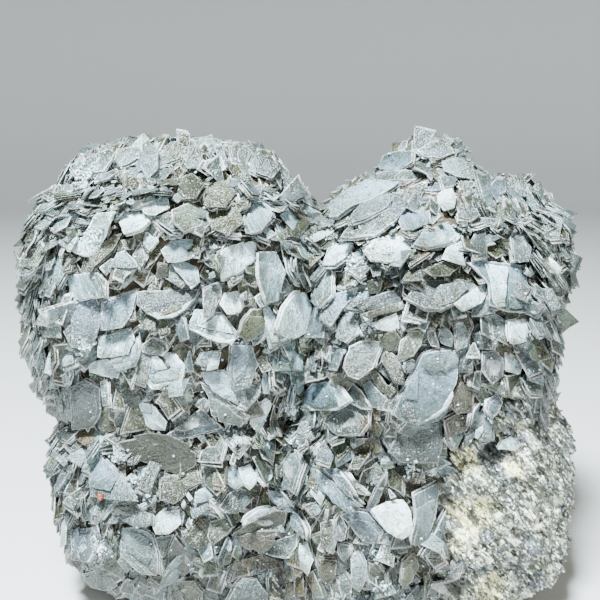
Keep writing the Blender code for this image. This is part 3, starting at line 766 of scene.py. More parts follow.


# %% [markdown]
# ## The large blades of the front
# These are the blades that give the specimen its face. Each has a finish, the side that its root is on in
# degrees (0 right, 90 up, 180 left), how far its free edge stands off the crust in degrees, and its outline
# on the front sheet. The tints were judged from how bright each blade is seen, so besides the blade's own
# colour they hold painted light and shade: some blades that lie in shade in the valley between the mounds
# are tinted frosted white, and some seen in shade are tinted brown. Scattering could never place them, so
# they are drawn one by one, by place.

# %% The left mound, from its skyline down
LEFT_TOP = {
    "skyline_outer": ("pale", 270, 20, [
        (70, 166), (90, 157), (110, 149), (115, 152), (104, 171), (76, 176)]),
    "skyline_second": ("pale", 290, 24, [
        (112, 167), (117, 149), (140, 145), (143, 150), (135, 160), (122, 166)]),
    "skyline_third": ("blue", 270, 18, [(143, 143), (158, 146), (158, 170), (147, 180), (140, 165)]),
    "skyline_fourth": ("green", 250, 20, [(160, 148), (175, 141), (184, 145), (180, 158), (164, 164)]),
    "skyline_fifth": ("pale", 270, 22, [(186, 146), (202, 148), (203, 160), (190, 166), (183, 157)]),
    "skyline_bright": ("frosted", 270, 16, [(205, 160), (222, 156), (226, 168), (214, 175), (206, 172)]),
    "skyline_sixth": ("grey", 270, 22, [(228, 147), (242, 142), (252, 152), (246, 166), (232, 164)]),
    "skyline_seventh": ("slate", 230, 22, [(252, 157), (268, 155), (281, 168), (272, 178), (256, 172)]),
    "skyline_tip": ("slate", 180, 25, [(282, 172), (295, 181), (304, 196), (296, 200), (284, 188)]),
    "lath": ("pale", 150, 18, [(95, 183), (95, 178), (117, 169), (119, 171), (108, 179)]),
    "upper_fan": ("frosted", 90, 30, [
        (150, 197), (168, 197), (170, 207), (155, 215), (143, 213), (142, 203)]),
    "upper_grey": ("dusk", 200, 25, [(172, 180), (192, 173), (204, 184), (196, 198), (178, 200)]),
    "upper_olive": ("olive", 90, 22, [(205, 186), (224, 180), (236, 192), (226, 207), (208, 206)]),
    "upper_leaf": ("green", 60, 24, [
        (172, 209), (190, 202), (206, 209), (202, 225), (184, 232), (172, 222)]),
    "frosted_slab": ("frosted", 200, 20, [
        (72, 252), (85, 233), (95, 214), (112, 212), (103, 237), (90, 258)]),
    "frosted_small": ("frosted", 90, 26, [
        (120, 212), (140, 212), (150, 220), (140, 229), (124, 233), (119, 222)]),
    "dark_strip": ("olive", 45, 14, [(123, 232), (114, 248), (90, 272), (86, 268), (95, 252), (115, 233)]),
    "pale_chip": ("milky", 90, 20, [(145, 232), (154, 232), (158, 241), (149, 250), (143, 243)]),
    "fan_grey": ("olive", 120, 20, [
        (206, 209), (222, 210), (236, 205), (244, 222), (228, 236), (212, 228)]),
    "fan_pale": ("milky", 90, 22, [(254, 202), (268, 200), (273, 215), (262, 231), (250, 232), (245, 220)]),
    "fan_edge": ("dusk", 90, 25, [(285, 212), (300, 207), (311, 222), (300, 236), (287, 236)]),
    "druse_plate": ("milky", 100, 18, [
        (161, 250), (170, 240), (200, 240), (206, 248), (190, 257), (168, 262)]),
    "olive_chip": ("olive", 90, 16, [(120, 240), (135, 238), (132, 250), (125, 249)]),
}

# %% The face of the left mound
LEFT_MIDDLE = {
    "triangle": ("ice", 90, 30, [(111, 265), (118, 252), (125, 250), (138, 265), (136, 267), (112, 267)]),
    "triangle_side": ("grey", 90, 14, [(141, 242), (146, 258), (140, 271), (132, 255)]),
    "round_end": ("milky", 180, 20, [(68, 274), (97, 273), (105, 281), (105, 297), (92, 297), (70, 301)]),
    "grey_slab": ("blue", 90, 16, [(70, 303), (96, 297), (102, 312), (97, 336), (90, 350), (72, 348)]),
    "big_slab": ("ice", 80, 16, [(102, 301), (120, 296), (137, 289), (132, 314), (122, 328), (101, 330)]),
    "lower_slab": ("milky", 90, 24, [(98, 338), (112, 334), (132, 328), (135, 340), (128, 355), (98, 358)]),
    "slab_hem": ("milky", 40, 28, [(110, 361), (135, 356), (140, 332), (142, 348), (136, 366), (120, 371)]),
    "white_hem": ("frosted", 60, 18, [
        (90, 362), (110, 358), (120, 368), (118, 378), (104, 376), (90, 372)]),
    "half_disc": ("slate", 90, 20, [
        (136, 291), (200, 289), (195, 299), (187, 308), (173, 318), (158, 319), (147, 313), (137, 304)]),
    "roof_right": ("milky", 60, 24, [
        (172, 265), (183, 261), (198, 268), (199, 283), (192, 290), (182, 277)]),
    "rounded_grey": ("grey", 90, 18, [
        (140, 346), (152, 337), (166, 341), (167, 350), (162, 356), (142, 352)]),
    "hexagon": ("frosted", 100, 20, [
        (141, 376), (143, 361), (152, 356), (160, 358), (167, 354), (175, 354), (185, 366), (182, 381),
        (171, 385), (163, 386), (161, 389), (151, 389)]),
    "wide_plate": ("milky", 80, 22, [
        (188, 329), (195, 309), (222, 312), (240, 336), (232, 344), (208, 338)]),
    # painted light: tinted frosted white to lift it out of the shade of the valley
    "valley_plate": ("frosted", 20, 22, [
        (220, 251), (238, 243), (254, 241), (256, 258), (240, 272), (222, 281)]),
    "grey_lath": ("grey", 60, 20, [(203, 290), (221, 282), (222, 296), (212, 315), (204, 320)]),
    "small_hexagon": ("frosted", 90, 24, [
        (224, 293), (238, 290), (244, 305), (240, 312), (228, 314), (220, 303)]),
    "olive_leaf": ("olive", 40, 26, [
        (239, 335), (243, 320), (253, 309), (270, 309), (264, 332), (250, 341)]),
    "twin_lath_left": ("milky", 75, 20, [(203, 352), (213, 351), (205, 367), (196, 363)]),
    "twin_lath_right": ("frosted", 75, 20, [(213, 352), (222, 351), (217, 369), (207, 371)]),
    "smooth_grey": ("blue", 90, 12, [
        (232, 345), (252, 345), (258, 365), (250, 388), (235, 392), (229, 372)]),
    "valley_grey": ("milky", 20, 12, [
        (258, 252), (276, 252), (286, 272), (278, 300), (266, 304), (258, 276)]),
    "left_grey": ("slate", 90, 8, [(70, 388), (84, 380), (99, 388), (101, 412), (93, 428), (72, 430)]),
    "shard": ("frosted", 120, 20, [(132, 401), (151, 404), (167, 422), (165, 431), (152, 430), (138, 418)]),
    "long_edge": ("blue", 300, 24, [
        (166, 436), (184, 424), (201, 409), (223, 428), (208, 432), (180, 440)]),
    "fallen_plate": ("grey", 110, 16, [
        (200, 381), (225, 397), (249, 418), (245, 425), (212, 416), (208, 398)]),
    "over_fallen": ("milky", 90, 14, [
        (200, 372), (222, 372), (243, 388), (246, 404), (222, 393), (206, 383)]),
    # painted light: tinted frosted white to lift it out of the shade of the valley
    "blade_point": ("frosted", 80, 20, [(256, 408), (268, 400), (272, 404), (260, 436), (252, 426)]),
    "roof_left": ("dusk", 300, 18, [(158, 262), (172, 264), (164, 278), (156, 276)]),
    "under_hexagon": ("slate", 90, 12, [(176, 383), (192, 375), (197, 389), (176, 390)]),
}

# %% The foot of the left mound
LEFT_BOTTOM = {
    "dark_wedge": ("dusk", 270, 16, [
        (117, 443), (142, 438), (168, 441), (196, 453), (196, 466), (180, 475), (134, 459)]),
    "blue_face": ("blue", 80, 24, [(88, 464), (101, 456), (121, 476), (136, 500), (116, 500), (90, 496)]),
    "dark_scoop": ("dusk", 60, 20, [
        (160, 480), (176, 474), (188, 487), (186, 495), (174, 504), (160, 500)]),
    "grey_tongue": ("pale", 110, 26, [
        (107, 503), (128, 500), (150, 515), (150, 525), (136, 527), (121, 519)]),
    "white_cup": ("frosted", 60, 26, [
        (151, 523), (166, 511), (180, 509), (181, 523), (169, 534), (156, 534)]),
    "green_slab": ("pale", 90, 14, [
        (121, 528), (136, 527), (152, 535), (158, 556), (157, 576), (141, 575), (120, 556)]),
    "leaf": ("dusk", 270, 20, [(175, 537), (189, 557), (187, 570), (179, 577), (168, 566), (168, 552)]),
    "grey_wing": ("dusk", 60, 22, [(182, 541), (199, 520), (207, 517), (210, 532), (207, 546), (200, 549)]),
    "pale_wing": ("green", 70, 20, [
        (210, 522), (225, 517), (236, 524), (226, 536), (212, 546), (208, 536)]),
    "trio_left": ("milky", 80, 24, [(216, 473), (228, 466), (240, 471), (246, 482), (238, 490)]),
    "trio_middle": ("frosted", 90, 26, [
        (238, 468), (250, 464), (257, 474), (256, 483), (251, 489), (243, 482)]),
    "trio_right": ("frosted", 90, 34, [(257, 466), (270, 465), (273, 474), (266, 486), (259, 478)]),
    "druse_disc": ("grey", 60, 22, [
        (219, 508), (228, 494), (240, 488), (252, 491), (254, 498), (238, 513), (225, 513)]),
    "white_lath": ("frosted", 40, 14, [
        (246, 519), (259, 510), (281, 506), (282, 508), (262, 519), (244, 525)]),
    "stack_upper": ("dusk", 250, 16, [
        (230, 535), (250, 521), (275, 512), (287, 513), (284, 524), (262, 531), (240, 537)]),
    "stack_middle": ("brown", 150, 24, [
        (234, 538), (258, 531), (277, 531), (277, 536), (264, 548), (250, 550), (240, 545)]),
    "stack_lower": ("grey", 30, 24, [
        (257, 550), (274, 541), (298, 533), (297, 546), (288, 558), (270, 556)]),
    "smooth_point": ("pale", 90, 16, [
        (280, 453), (290, 447), (298, 452), (304, 463), (293, 494), (285, 487)]),
    "valley_blade": ("pale", 120, 16, [(290, 511), (296, 513), (306, 530), (306, 541), (291, 525)]),
    "valley_lath": ("ice", 130, 14, [(268, 492), (281, 494), (299, 512), (288, 511), (275, 503)]),
    "bottom_pale": ("pale", 90, 20, [
        (227, 603), (235, 588), (243, 578), (257, 580), (268, 596), (266, 606)]),
    "bottom_grey": ("dusk", 90, 20, [
        (170, 590), (181, 581), (194, 581), (203, 592), (200, 606), (172, 604)]),
    "bottom_left": ("grey", 90, 24, [(78, 574), (96, 571), (114, 574), (120, 580), (110, 587), (86, 583)]),
    "left_low": ("blue", 100, 20, [(72, 530), (92, 527), (98, 545), (88, 562), (72, 560)]),
    "ridge_chip": ("milky", 90, 18, [(138, 470), (152, 466), (159, 476), (152, 482), (139, 480)]),
    "under_cup": ("grey", 90, 16, [(155, 537), (173, 535), (170, 547), (162, 559), (158, 549)]),
    "stack_foot": ("brown", 90, 14, [
        (240, 560), (262, 554), (283, 562), (284, 567), (262, 571), (244, 567)]),
}

# %% The right mound and its knob, from the skyline down
RIGHT_TOP = {
    "knob_top": ("pale", 270, 22, [(417, 150), (431, 141), (448, 143), (455, 152), (440, 158), (424, 157)]),
    "knob_left": ("milky", 270, 20, [
        (378, 168), (383, 155), (397, 151), (412, 150), (412, 162), (396, 171)]),
    "knob_right": ("pale", 180, 20, [
        (442, 161), (457, 157), (472, 164), (474, 178), (458, 176), (444, 171)]),
    "knob_under": ("grey", 90, 20, [
        (366, 178), (382, 172), (404, 169), (426, 172), (412, 180), (380, 180)]),
    "beak": ("milky", 30, 20, [
        (328, 216), (332, 204), (346, 193), (365, 180), (400, 181), (386, 192), (352, 206), (338, 216)]),
    "beak_under": ("pale", 60, 16, [
        (354, 212), (363, 201), (392, 193), (388, 206), (366, 218), (352, 222)]),
    "knob_shadow": ("blue", 120, 16, [(423, 190), (441, 177), (456, 177), (454, 186), (438, 191)]),
    "knob_white": ("frosted", 90, 22, [
        (439, 193), (452, 187), (456, 196), (454, 207), (444, 210), (437, 202)]),
    "rimmed_oval": ("grey", 120, 22, [
        (456, 214), (465, 208), (476, 208), (480, 214), (470, 222), (458, 220)]),
    "back_first": ("ice", 270, 20, [(487, 189), (495, 179), (505, 181), (507, 191), (496, 196)]),
    "back_second": ("grey", 270, 20, [(508, 183), (516, 175), (527, 180), (528, 196), (512, 196)]),
    "long_grey": ("grey", 30, 16, [
        (340, 238), (348, 226), (380, 212), (398, 206), (398, 218), (376, 234), (356, 238)]),
    "left_white": ("frosted", 40, 16, [
        (322, 264), (328, 248), (342, 240), (353, 243), (346, 256), (334, 264)]),
    "white_patch": ("frosted", 80, 20, [
        (364, 250), (374, 240), (404, 235), (413, 240), (408, 257), (388, 262), (372, 259)]),
    "pale_top": ("ice", 90, 18, [(398, 222), (404, 210), (430, 209), (430, 222), (412, 230), (402, 229)]),
    "long_oval": ("milky", 60, 28, [
        (414, 243), (424, 230), (444, 223), (460, 228), (464, 236), (446, 243), (428, 247)]),
    "over_dark": ("dusk", 60, 20, [(424, 271), (440, 262), (458, 257), (461, 265), (450, 275), (432, 276)]),
    "bundle_left": ("slate", 90, 12, [(471, 240), (480, 224), (486, 228), (488, 258), (473, 260)]),
    "bundle_right": ("pale", 80, 14, [(510, 236), (524, 224), (529, 240), (526, 260), (512, 262)]),
    "fan_tip": ("slate", 180, 22, [(302, 209), (316, 209), (322, 214), (313, 223), (304, 222)]),
}

# %% The face of the right mound
RIGHT_MIDDLE = {
    "greenish_long": ("pale", 70, 14, [
        (312, 300), (319, 280), (326, 262), (332, 271), (331, 296), (320, 309)]),
    # painted light: tinted frosted white to lift it out of the shade of the valley
    "rim_left": ("frosted", 40, 18, [
        (276, 331), (284, 308), (296, 293), (307, 292), (312, 308), (309, 332), (290, 341)]),
    "long_parallel": ("ice", 60, 18, [
        (319, 320), (323, 306), (336, 293), (355, 288), (356, 297), (344, 306), (330, 326)]),
    "druse_block": ("pale", 60, 16, [
        (338, 322), (350, 306), (358, 313), (358, 334), (346, 343), (336, 338)]),
    "ledge_upper": ("slate", 20, 18, [
        (352, 301), (370, 297), (394, 290), (402, 300), (388, 308), (360, 310)]),
    "ledge_lower": ("dusk", 20, 20, [
        (361, 314), (380, 308), (402, 301), (405, 309), (386, 313), (362, 321)]),
    "tan_knob": ("olive", 270, 12, [
        (381, 343), (384, 334), (394, 330), (401, 339), (396, 350), (386, 351)]),
    "rimmed_grey": ("slate", 90, 26, [
        (406, 298), (414, 285), (430, 280), (470, 278), (477, 284), (456, 302), (442, 309), (424, 307)]),
    "rimmed_grey_tip": ("frosted", 60, 24, [
        (456, 304), (472, 290), (484, 283), (489, 290), (482, 302), (465, 310)]),
    "pale_wall": ("ice", 80, 24, [
        (470, 262), (485, 261), (528, 265), (528, 312), (510, 313), (490, 305), (490, 284)]),
    "under_wall": ("pale", 90, 18, [
        (484, 318), (496, 314), (508, 322), (510, 338), (500, 339), (485, 329)]),
    "under_wall_white": ("frosted", 60, 22, [(508, 322), (528, 317), (528, 340), (511, 343)]),
    "pair_first": ("grey", 200, 20, [(428, 330), (434, 329), (440, 348), (431, 346), (427, 338)]),
    "pair_second": ("pale", 200, 20, [
        (440, 330), (448, 329), (453, 336), (452, 347), (443, 345), (438, 337)]),
    "green_rhomb": ("green", 60, 20, [
        (399, 358), (403, 340), (413, 331), (425, 329), (421, 345), (413, 356)]),
    "grey_rhomb": ("grey", 70, 22, [
        (343, 368), (350, 346), (360, 341), (384, 341), (373, 368), (358, 380), (348, 376)]),
    "olive_blade": ("dusk", 110, 18, [
        (381, 360), (385, 350), (394, 356), (403, 371), (404, 385), (394, 384)]),
    "narrow_blade": ("dusk", 110, 16, [
        (369, 372), (374, 368), (386, 384), (398, 389), (390, 398), (378, 388)]),
    "largest": ("ice", 80, 22, [
        (393, 414), (402, 394), (412, 376), (423, 354), (440, 350), (461, 350), (457, 378), (449, 403),
        (441, 413), (418, 425), (403, 421)]),
    # painted light: tinted frosted white to lift it out of the shade of the valley
    "frosted_left": ("frosted", 120, 20, [
        (296, 398), (311, 384), (335, 380), (347, 400), (334, 410), (310, 410)]),
    "grey_hexagon": ("grey", 110, 26, [
        (320, 418), (334, 408), (348, 401), (370, 412), (369, 423), (360, 435), (337, 436)]),
    "pointed_grey": ("grey", 120, 20, [
        (344, 392), (352, 383), (361, 391), (372, 409), (362, 409), (348, 402)]),
    "pointed_white": ("pale", 120, 20, [(362, 384), (370, 380), (387, 400), (381, 409), (371, 407)]),
    "grey_window": ("slate", 90, 20, [
        (389, 452), (396, 438), (410, 429), (441, 422), (443, 442), (439, 463), (402, 463)]),
    "grey_window_side": ("brown", 60, 16, [(444, 420), (456, 414), (473, 418), (467, 431), (447, 440)]),
    "olive_wall": ("brown", 90, 14, [
        (447, 404), (456, 388), (462, 381), (474, 390), (472, 413), (458, 414)]),
    "right_column": ("slate", 90, 16, [
        (482, 352), (495, 350), (503, 358), (504, 376), (492, 384), (482, 370)]),
    "right_column_side": ("frosted", 60, 18, [(505, 352), (516, 356), (524, 366), (521, 374), (508, 371)]),
    "blue_chip": ("blue", 90, 18, [(486, 400), (496, 393), (503, 402), (499, 413), (492, 419), (485, 410)]),
    "brown_chip": ("green", 40, 15, [(258, 336), (268, 333), (272, 339), (264, 347)]),
    "small_box": ("dusk", 270, 14, [(357, 286), (370, 283), (383, 280), (380, 292), (360, 296)]),
    "beside_largest": ("frosted", 100, 14, [(402, 366), (411, 362), (418, 366), (413, 374), (405, 372)]),
    "pair_behind": ("pale", 90, 14, [(456, 322), (464, 324), (470, 336), (467, 346), (456, 350)]),
    # painted shade: tinted brown where it lies in a shaded crevice
    "brown_shelter": ("brown", 90, 12, [(358, 457), (359, 442), (378, 434), (372, 448), (362, 456)]),
    "white_ledge": ("frosted", 20, 16, [(371, 323), (397, 313), (400, 328), (392, 332), (378, 329)]),
}

# %% The foot of the right mound, and the lone blades
RIGHT_BOTTOM = {
    "stack_long": ("ice", 120, 22, [
        (306, 466), (317, 470), (346, 493), (363, 507), (342, 507), (318, 489)]),
    "stack_second": ("blue", 120, 18, [(322, 468), (339, 469), (352, 488), (356, 496), (344, 491)]),
    "stack_third": ("grey", 120, 16, [(341, 468), (350, 476), (370, 496), (358, 494), (350, 486)]),
    "slanting_blade": ("grey", 250, 18, [
        (366, 512), (375, 491), (387, 472), (388, 478), (380, 498), (372, 511)]),
    "white_heart": ("frosted", 80, 24, [
        (371, 510), (386, 502), (403, 499), (411, 512), (413, 534), (403, 539), (385, 528)]),
    "grey_heart": ("pale", 60, 20, [
        (414, 495), (441, 481), (436, 510), (429, 538), (412, 545), (411, 538), (416, 520)]),
    "edge_lath": ("blue", 60, 18, [(421, 557), (437, 530), (448, 506), (447, 524), (439, 543), (428, 555)]),
    "bottom_oval": ("olive", 90, 16, [
        (400, 584), (402, 563), (415, 551), (419, 566), (412, 582), (404, 589)]),
    "column_rim": ("slate", 90, 16, [(335, 520), (340, 513), (347, 528), (345, 541), (336, 540)]),
    "pale_flag": ("pale", 90, 18, [(351, 556), (358, 550), (366, 566), (366, 580), (360, 592), (351, 586)]),
    "pale_foot": ("grey", 90, 16, [(338, 572), (346, 570), (352, 584), (351, 598), (341, 598)]),
    "ridge_white": ("frosted", 60, 18, [(299, 546), (308, 543), (313, 560), (307, 577), (300, 566)]),
    "front_grey": ("green", 270, 30, [
        (392, 604), (404, 590), (430, 583), (462, 581), (474, 592), (470, 606)]),
    "column_left": ("dusk", 90, 14, [(320, 522), (333, 519), (334, 536), (329, 550), (320, 548)]),
    "column_low": ("grey", 90, 14, [(337, 543), (350, 545), (351, 555), (343, 562), (338, 556)]),
    "dark_foot": ("brown", 90, 14, [(318, 558), (336, 560), (335, 578), (326, 588), (318, 574)]),
    "ridge_foot": ("green", 60, 18, [(305, 577), (313, 570), (324, 598), (316, 598)]),
    "grey_lump": ("dusk", 90, 14, [(369, 562), (380, 566), (386, 580), (378, 587), (369, 580)]),
    "under_heart": ("blue", 90, 12, [
        (340, 516), (353, 510), (368, 513), (384, 532), (378, 543), (362, 540)]),
}
LONE_BLADES = {
    "lone_blade_right": ("frosted", 60, 34, [(498, 449), (503, 440), (524, 431), (522, 445), (517, 450)]),
    "lone_blade_low": ("slate", 100, 34, [(444, 584), (448, 567), (457, 555), (464, 560), (458, 578)]),
}

# %% [markdown]
# ## Growth on the faces
# Some large blades have a form of their own on the face: a growth layer, a facet that turns to another side,
# a stained window. Each has a finish, the side that it turns to and by how much, both in degrees, and its
# outline.

# %% The facets by place
FACETS = {
    "hexagon": [
        ("milky", 90, 1, [
            (146, 376), (147, 365), (154, 360), (165, 359), (174, 359), (181, 367), (178, 379),
            (163, 383), (153, 384)]),
        ("ice", 200, 5, [(148, 366), (152, 360), (157, 372), (151, 376)]),
        ("dusk", 90, 0, [(158, 355), (161, 355), (171, 367), (168, 370)]),
        ("frosted", 270, 6, [(152, 357), (158, 356), (168, 369), (157, 371)]),
        ("brown", 90, 0, [(157, 360), (162, 360), (163, 364), (158, 366)]),
    ],
    "largest": [
        ("ice", 170, 9, [
            (418, 369), (417, 400), (411, 400), (405, 399), (399, 407), (404, 392), (411, 379)]),
        ("slate", 190, 13, [(401, 408), (409, 401), (414, 406), (417, 424), (409, 422), (402, 416)]),
        ("pale", 60, 5, [
            (428, 357), (445, 352), (459, 352), (458, 364), (447, 371), (428, 371), (420, 367)]),
        ("frosted", 280, 9, [
            (419, 424), (430, 417), (442, 408), (451, 390), (452, 396), (447, 407), (438, 416)]),
    ],
    "half_disc": [
        ("frosted", 280, 4, [
            (147, 313), (158, 317), (172, 315), (186, 306), (196, 297), (187, 308), (173, 318),
            (158, 319)]),
        ("olive", 270, 8, [
            (160, 316), (165, 310), (171, 306), (178, 305), (182, 308), (175, 312), (167, 316)]),
    ],
    "pale_wall": [
        ("frosted", 200, 7, [(484, 264), (505, 268), (504, 308), (497, 307), (492, 300), (491, 284)]),
        ("milky", 0, 3, [(507, 268), (522, 268), (524, 309), (508, 309)]),
    ],
    "rimmed_grey": [
        ("grey", 250, 6, [(428, 300), (440, 286), (456, 284), (468, 290), (454, 303), (440, 307)]),
    ],
    "wide_plate": [
        ("frosted", 270, 5, [(192, 330), (208, 335), (232, 340), (236, 338), (232, 345), (208, 340)]),
        ("frosted", 90, 2, [(195, 326), (200, 313), (221, 316), (233, 334), (216, 331)]),
    ],
    "green_slab": [
        ("pale", 100, 3, [(124, 533), (136, 531), (149, 539), (153, 556), (148, 565), (126, 552)]),
    ],
    "blue_face": [
        ("ice", 120, 4, [(94, 468), (101, 462), (117, 480), (112, 492), (94, 488)]),
    ],
    "frosted_left": [
        ("ice", 150, 4, [(303, 392), (318, 384), (334, 388), (340, 403), (322, 409), (306, 404)]),
    ],
}

# %% The blades by the part of the front
GROUPS = {
    "blades_left_upper": LEFT_TOP | LEFT_MIDDLE,
    "blades_left_lower": LEFT_BOTTOM,
    "blades_right_upper": RIGHT_TOP | RIGHT_MIDDLE,
    "blades_right_lower": RIGHT_BOTTOM,
}
print("large blades:", sum(len(group) for group in GROUPS.values()))

# %% [markdown]
# ## Laying a large blade where it is seen
# A blade lies in a plane that leans off the crust. The plane passes through the point of the crust behind the
# blade's root, and the corners are where the lines of sight through the outline meet that plane. Measured in
# the plane, the corners are the outline that `model_plate` wants. One or two further sheets lie behind each
# blade, shifted a little, because the real blades are stacks of parallel sheets and show their layers at the
# free edge. Growth layers and facets lie on its face.

# %% Surfaces to sight at
SIGHT_SEGMENTS = 48
SIGHT_RINGS = 32


def tree_of(names):
    """The chosen lumps as one tree that a line of sight can be cast at."""
    points, faces = [], []
    start_clean()
    for name in names:
        bpy.ops.mesh.primitive_uv_sphere_add(segments=SIGHT_SEGMENTS, ring_count=SIGHT_RINGS, radius=1.0)
        ball = bpy.context.active_object
        first = len(points)
        points += [skin_point(name, vert.co.normalized()) for vert in ball.data.vertices]
        faces += [[first + corner for corner in face.vertices] for face in ball.data.polygons]
        bpy.data.objects.remove(ball)
    return BVHTree.FromPolygons(points, faces)


MOUND_NAMES = list(MOUNDS)
ROCK_NAMES = list(ROCK)
mound_tree = tree_of(MOUND_NAMES)
rock_tree = tree_of(ROCK_NAMES)

# %% The plane of a blade
HELD = 0.3  # how deep a blade's root corner sits in the crust
ROOT_SHARES = (0.9, 0.6, 0.3, 0.0, -0.4, -0.8)  # how far toward the root the crust is sighted, tried in turn
MOST_FORESHORTENED = 0.55  # a blade is never seen more edge-on than this
TURN_STEP = 0.1  # how much a blade that is too edge-on turns toward the eye at a time


def leaning(normal, root_way, lift):
    """The way from root to free edge and the blade's own normal, where it stands off by lift degrees."""
    toward_root = (root_way - normal * root_way.dot(normal)).normalized()
    run = -toward_root * math.cos(math.radians(lift)) + normal * math.sin(math.radians(lift))
    side = normal.cross(toward_root).normalized()
    facing = run.cross(side).normalized()
    if facing.dot(normal) < 0:
        facing.negate()
    return run, facing


def stand_off(point, tree):
    """How far a point is outside the skin of a tree of lumps; less than 0 inside it."""
    nearest, normal = tree.find_nearest(point)[:2]
    return math.copysign((point - nearest).length, (point - nearest).dot(normal))


def front_plane(spec, tree, names, steepness):
    """A point of the blade's plane, the way it faces, and the way from root to free edge."""
    _, root, lift, outline = spec
    across, upward = math.cos(math.radians(root)), math.sin(math.radians(root))
    middle_u = sum(u for u, v in outline) / len(outline)
    middle_v = sum(v for u, v in outline) / len(outline)
    root_u, root_v = max(outline, key=lambda corner: corner[0] * across - corner[1] * upward)
    held = None
    for share in ROOT_SHARES:
        u = middle_u + (root_u - middle_u) * share
        v = middle_v + (root_v - middle_v) * share
        held = tree.ray_cast(EYE, sight(u, v))[0]
        if held:
            break
    normal = outward(held, names)
    looking = sight(middle_u, middle_v)
    run, facing = leaning(normal, sheet_way(root), lift * steepness)
    while facing.dot(-looking) < MOST_FORESHORTENED:
        facing = (facing - looking * TURN_STEP).normalized()
    return held - normal * HELD, facing, run


def axes_at(side, along, out, place):
    """The matrix that lays a form's own three axes along three directions, with its origin at place."""
    return Matrix.Translation(place) @ Matrix((side, along, out)).transposed().to_4x4()


def turned_to(facing, run, place):
    """The matrix that lays a form's +Z along facing and its +Y against run, with its origin at place."""
    side = run.cross(facing).normalized()
    along = facing.cross(side).normalized()
    return axes_at(side, along, facing, place)


def on_plane(outline, held, facing):
    """Where the lines of sight through an outline of the sheet meet a plane."""
    ways = [sight(u, v) for u, v in outline]
    return [EYE + way * ((held - EYE).dot(facing) / way.dot(facing)) for way in ways]


# %% Chipped edges and bowed faces
STATION_STEP = 1.1
EDGE_JITTER = 0.1
BOW = 0.012  # how much a blade is bowed, for each millimetre from its middle
WAVE_HEIGHT = 0.33
WAVE_SIZE = 3.0


def chipped(outline, rng):
    """An outline with stations along it, each nudged a little, as a chipped edge."""
    return [
        point + Vector((rng.uniform(-1, 1), rng.uniform(-1, 1))) * EDGE_JITTER
        for point in stations(outline, STATION_STEP)
    ]


class Bow:
    """The bend and the waviness that all the sheets of one blade share."""

    def __init__(self, rng):
        self.seed = Vector((rng.uniform(0, 90), rng.uniform(0, 90), rng.uniform(0, 90)))
        self.bend = rng.uniform(-1, 1) * BOW

    def rise(self, points):
        """How far each point is lifted, in millimetres."""
        wave = [noise.noise(Vector((x, y, 0.0)) / WAVE_SIZE + self.seed) for x, y, _ in points]
        return self.bend * points[:, 0] ** 2 + np.array(wave) * WAVE_HEIGHT


# %% Lay the large blades
STEEPNESS = (1.35, 1.0, 0.7, 0.4, 0.15)  # shares of a blade's lift, tried until its corners stay low enough
HIGHEST = 4.2  # how far a corner may stand off the crust
BLADE_SHADES = (0.85, 1.12)
BLADE_WEAR = (0.35, 1.0)
LEAST_FROSTED_WEAR = 0.85
SHEETS = (2, 3, 3)  # a blade is a stack of as many sheets as one of these
SHEET_THICK = 0.22
THICKER_BY = 0.012  # for each millimetre of the blade's size
SHEET_THINNING = 0.8  # each sheet is as much of the one in front of it
SHEET_GAP = (0.03, 0.2)
SLIP_ACROSS = (-0.3, 0.3)  # how far a sheet is shifted against the first one
SLIP_ALONG = (-0.55, 0.1)
LAYERS = (0, 1, 1, 2)  # a blade without facets has as many growth layers as one of these
LAYERED_FROM = 1.8  # a smaller blade has none
LAYER_SHARE = (0.55, 0.9)  # of the blade's own outline
LAYER_SINK = 0.02
LAYER_THICK = 0.07
LAYER_WEAR = 0.35
FACET_RINGS = (0.2,)
FACET_WEAR = 0.6


def shaded(tint, shades, rng):
    """One of the tints, made a little darker or lighter."""
    shade = rng.uniform(*shades)
    return [part * shade for part in TINTS[tint]]


def lay_facet(heap, facet, order, held, facing, place, bow, worn, rng):
    """One facet on the face of a large blade, turned a little to its own side."""
    tint, turn, tilt, outline = facet
    flat = [(place.inverted() @ corner).to_2d() for corner in on_plane(outline, held, facing)]
    way = (place.to_3x3().inverted() @ sheet_way(turn)).to_2d().normalized()
    plate = Plate(chipped(flat, rng), LAYER_THICK, int(tint == "frosted"), FACET_RINGS)
    slope = plate.points[:, :2] @ np.array(way) * -math.tan(math.radians(tilt))
    plate.points[:, 2] += slope - slope.min() + bow.rise(plate.points) + order * LAYER_THICK
    heap.lay(plate, place, TINTS[tint], worn if tint == "frosted" else 0.0, rng)


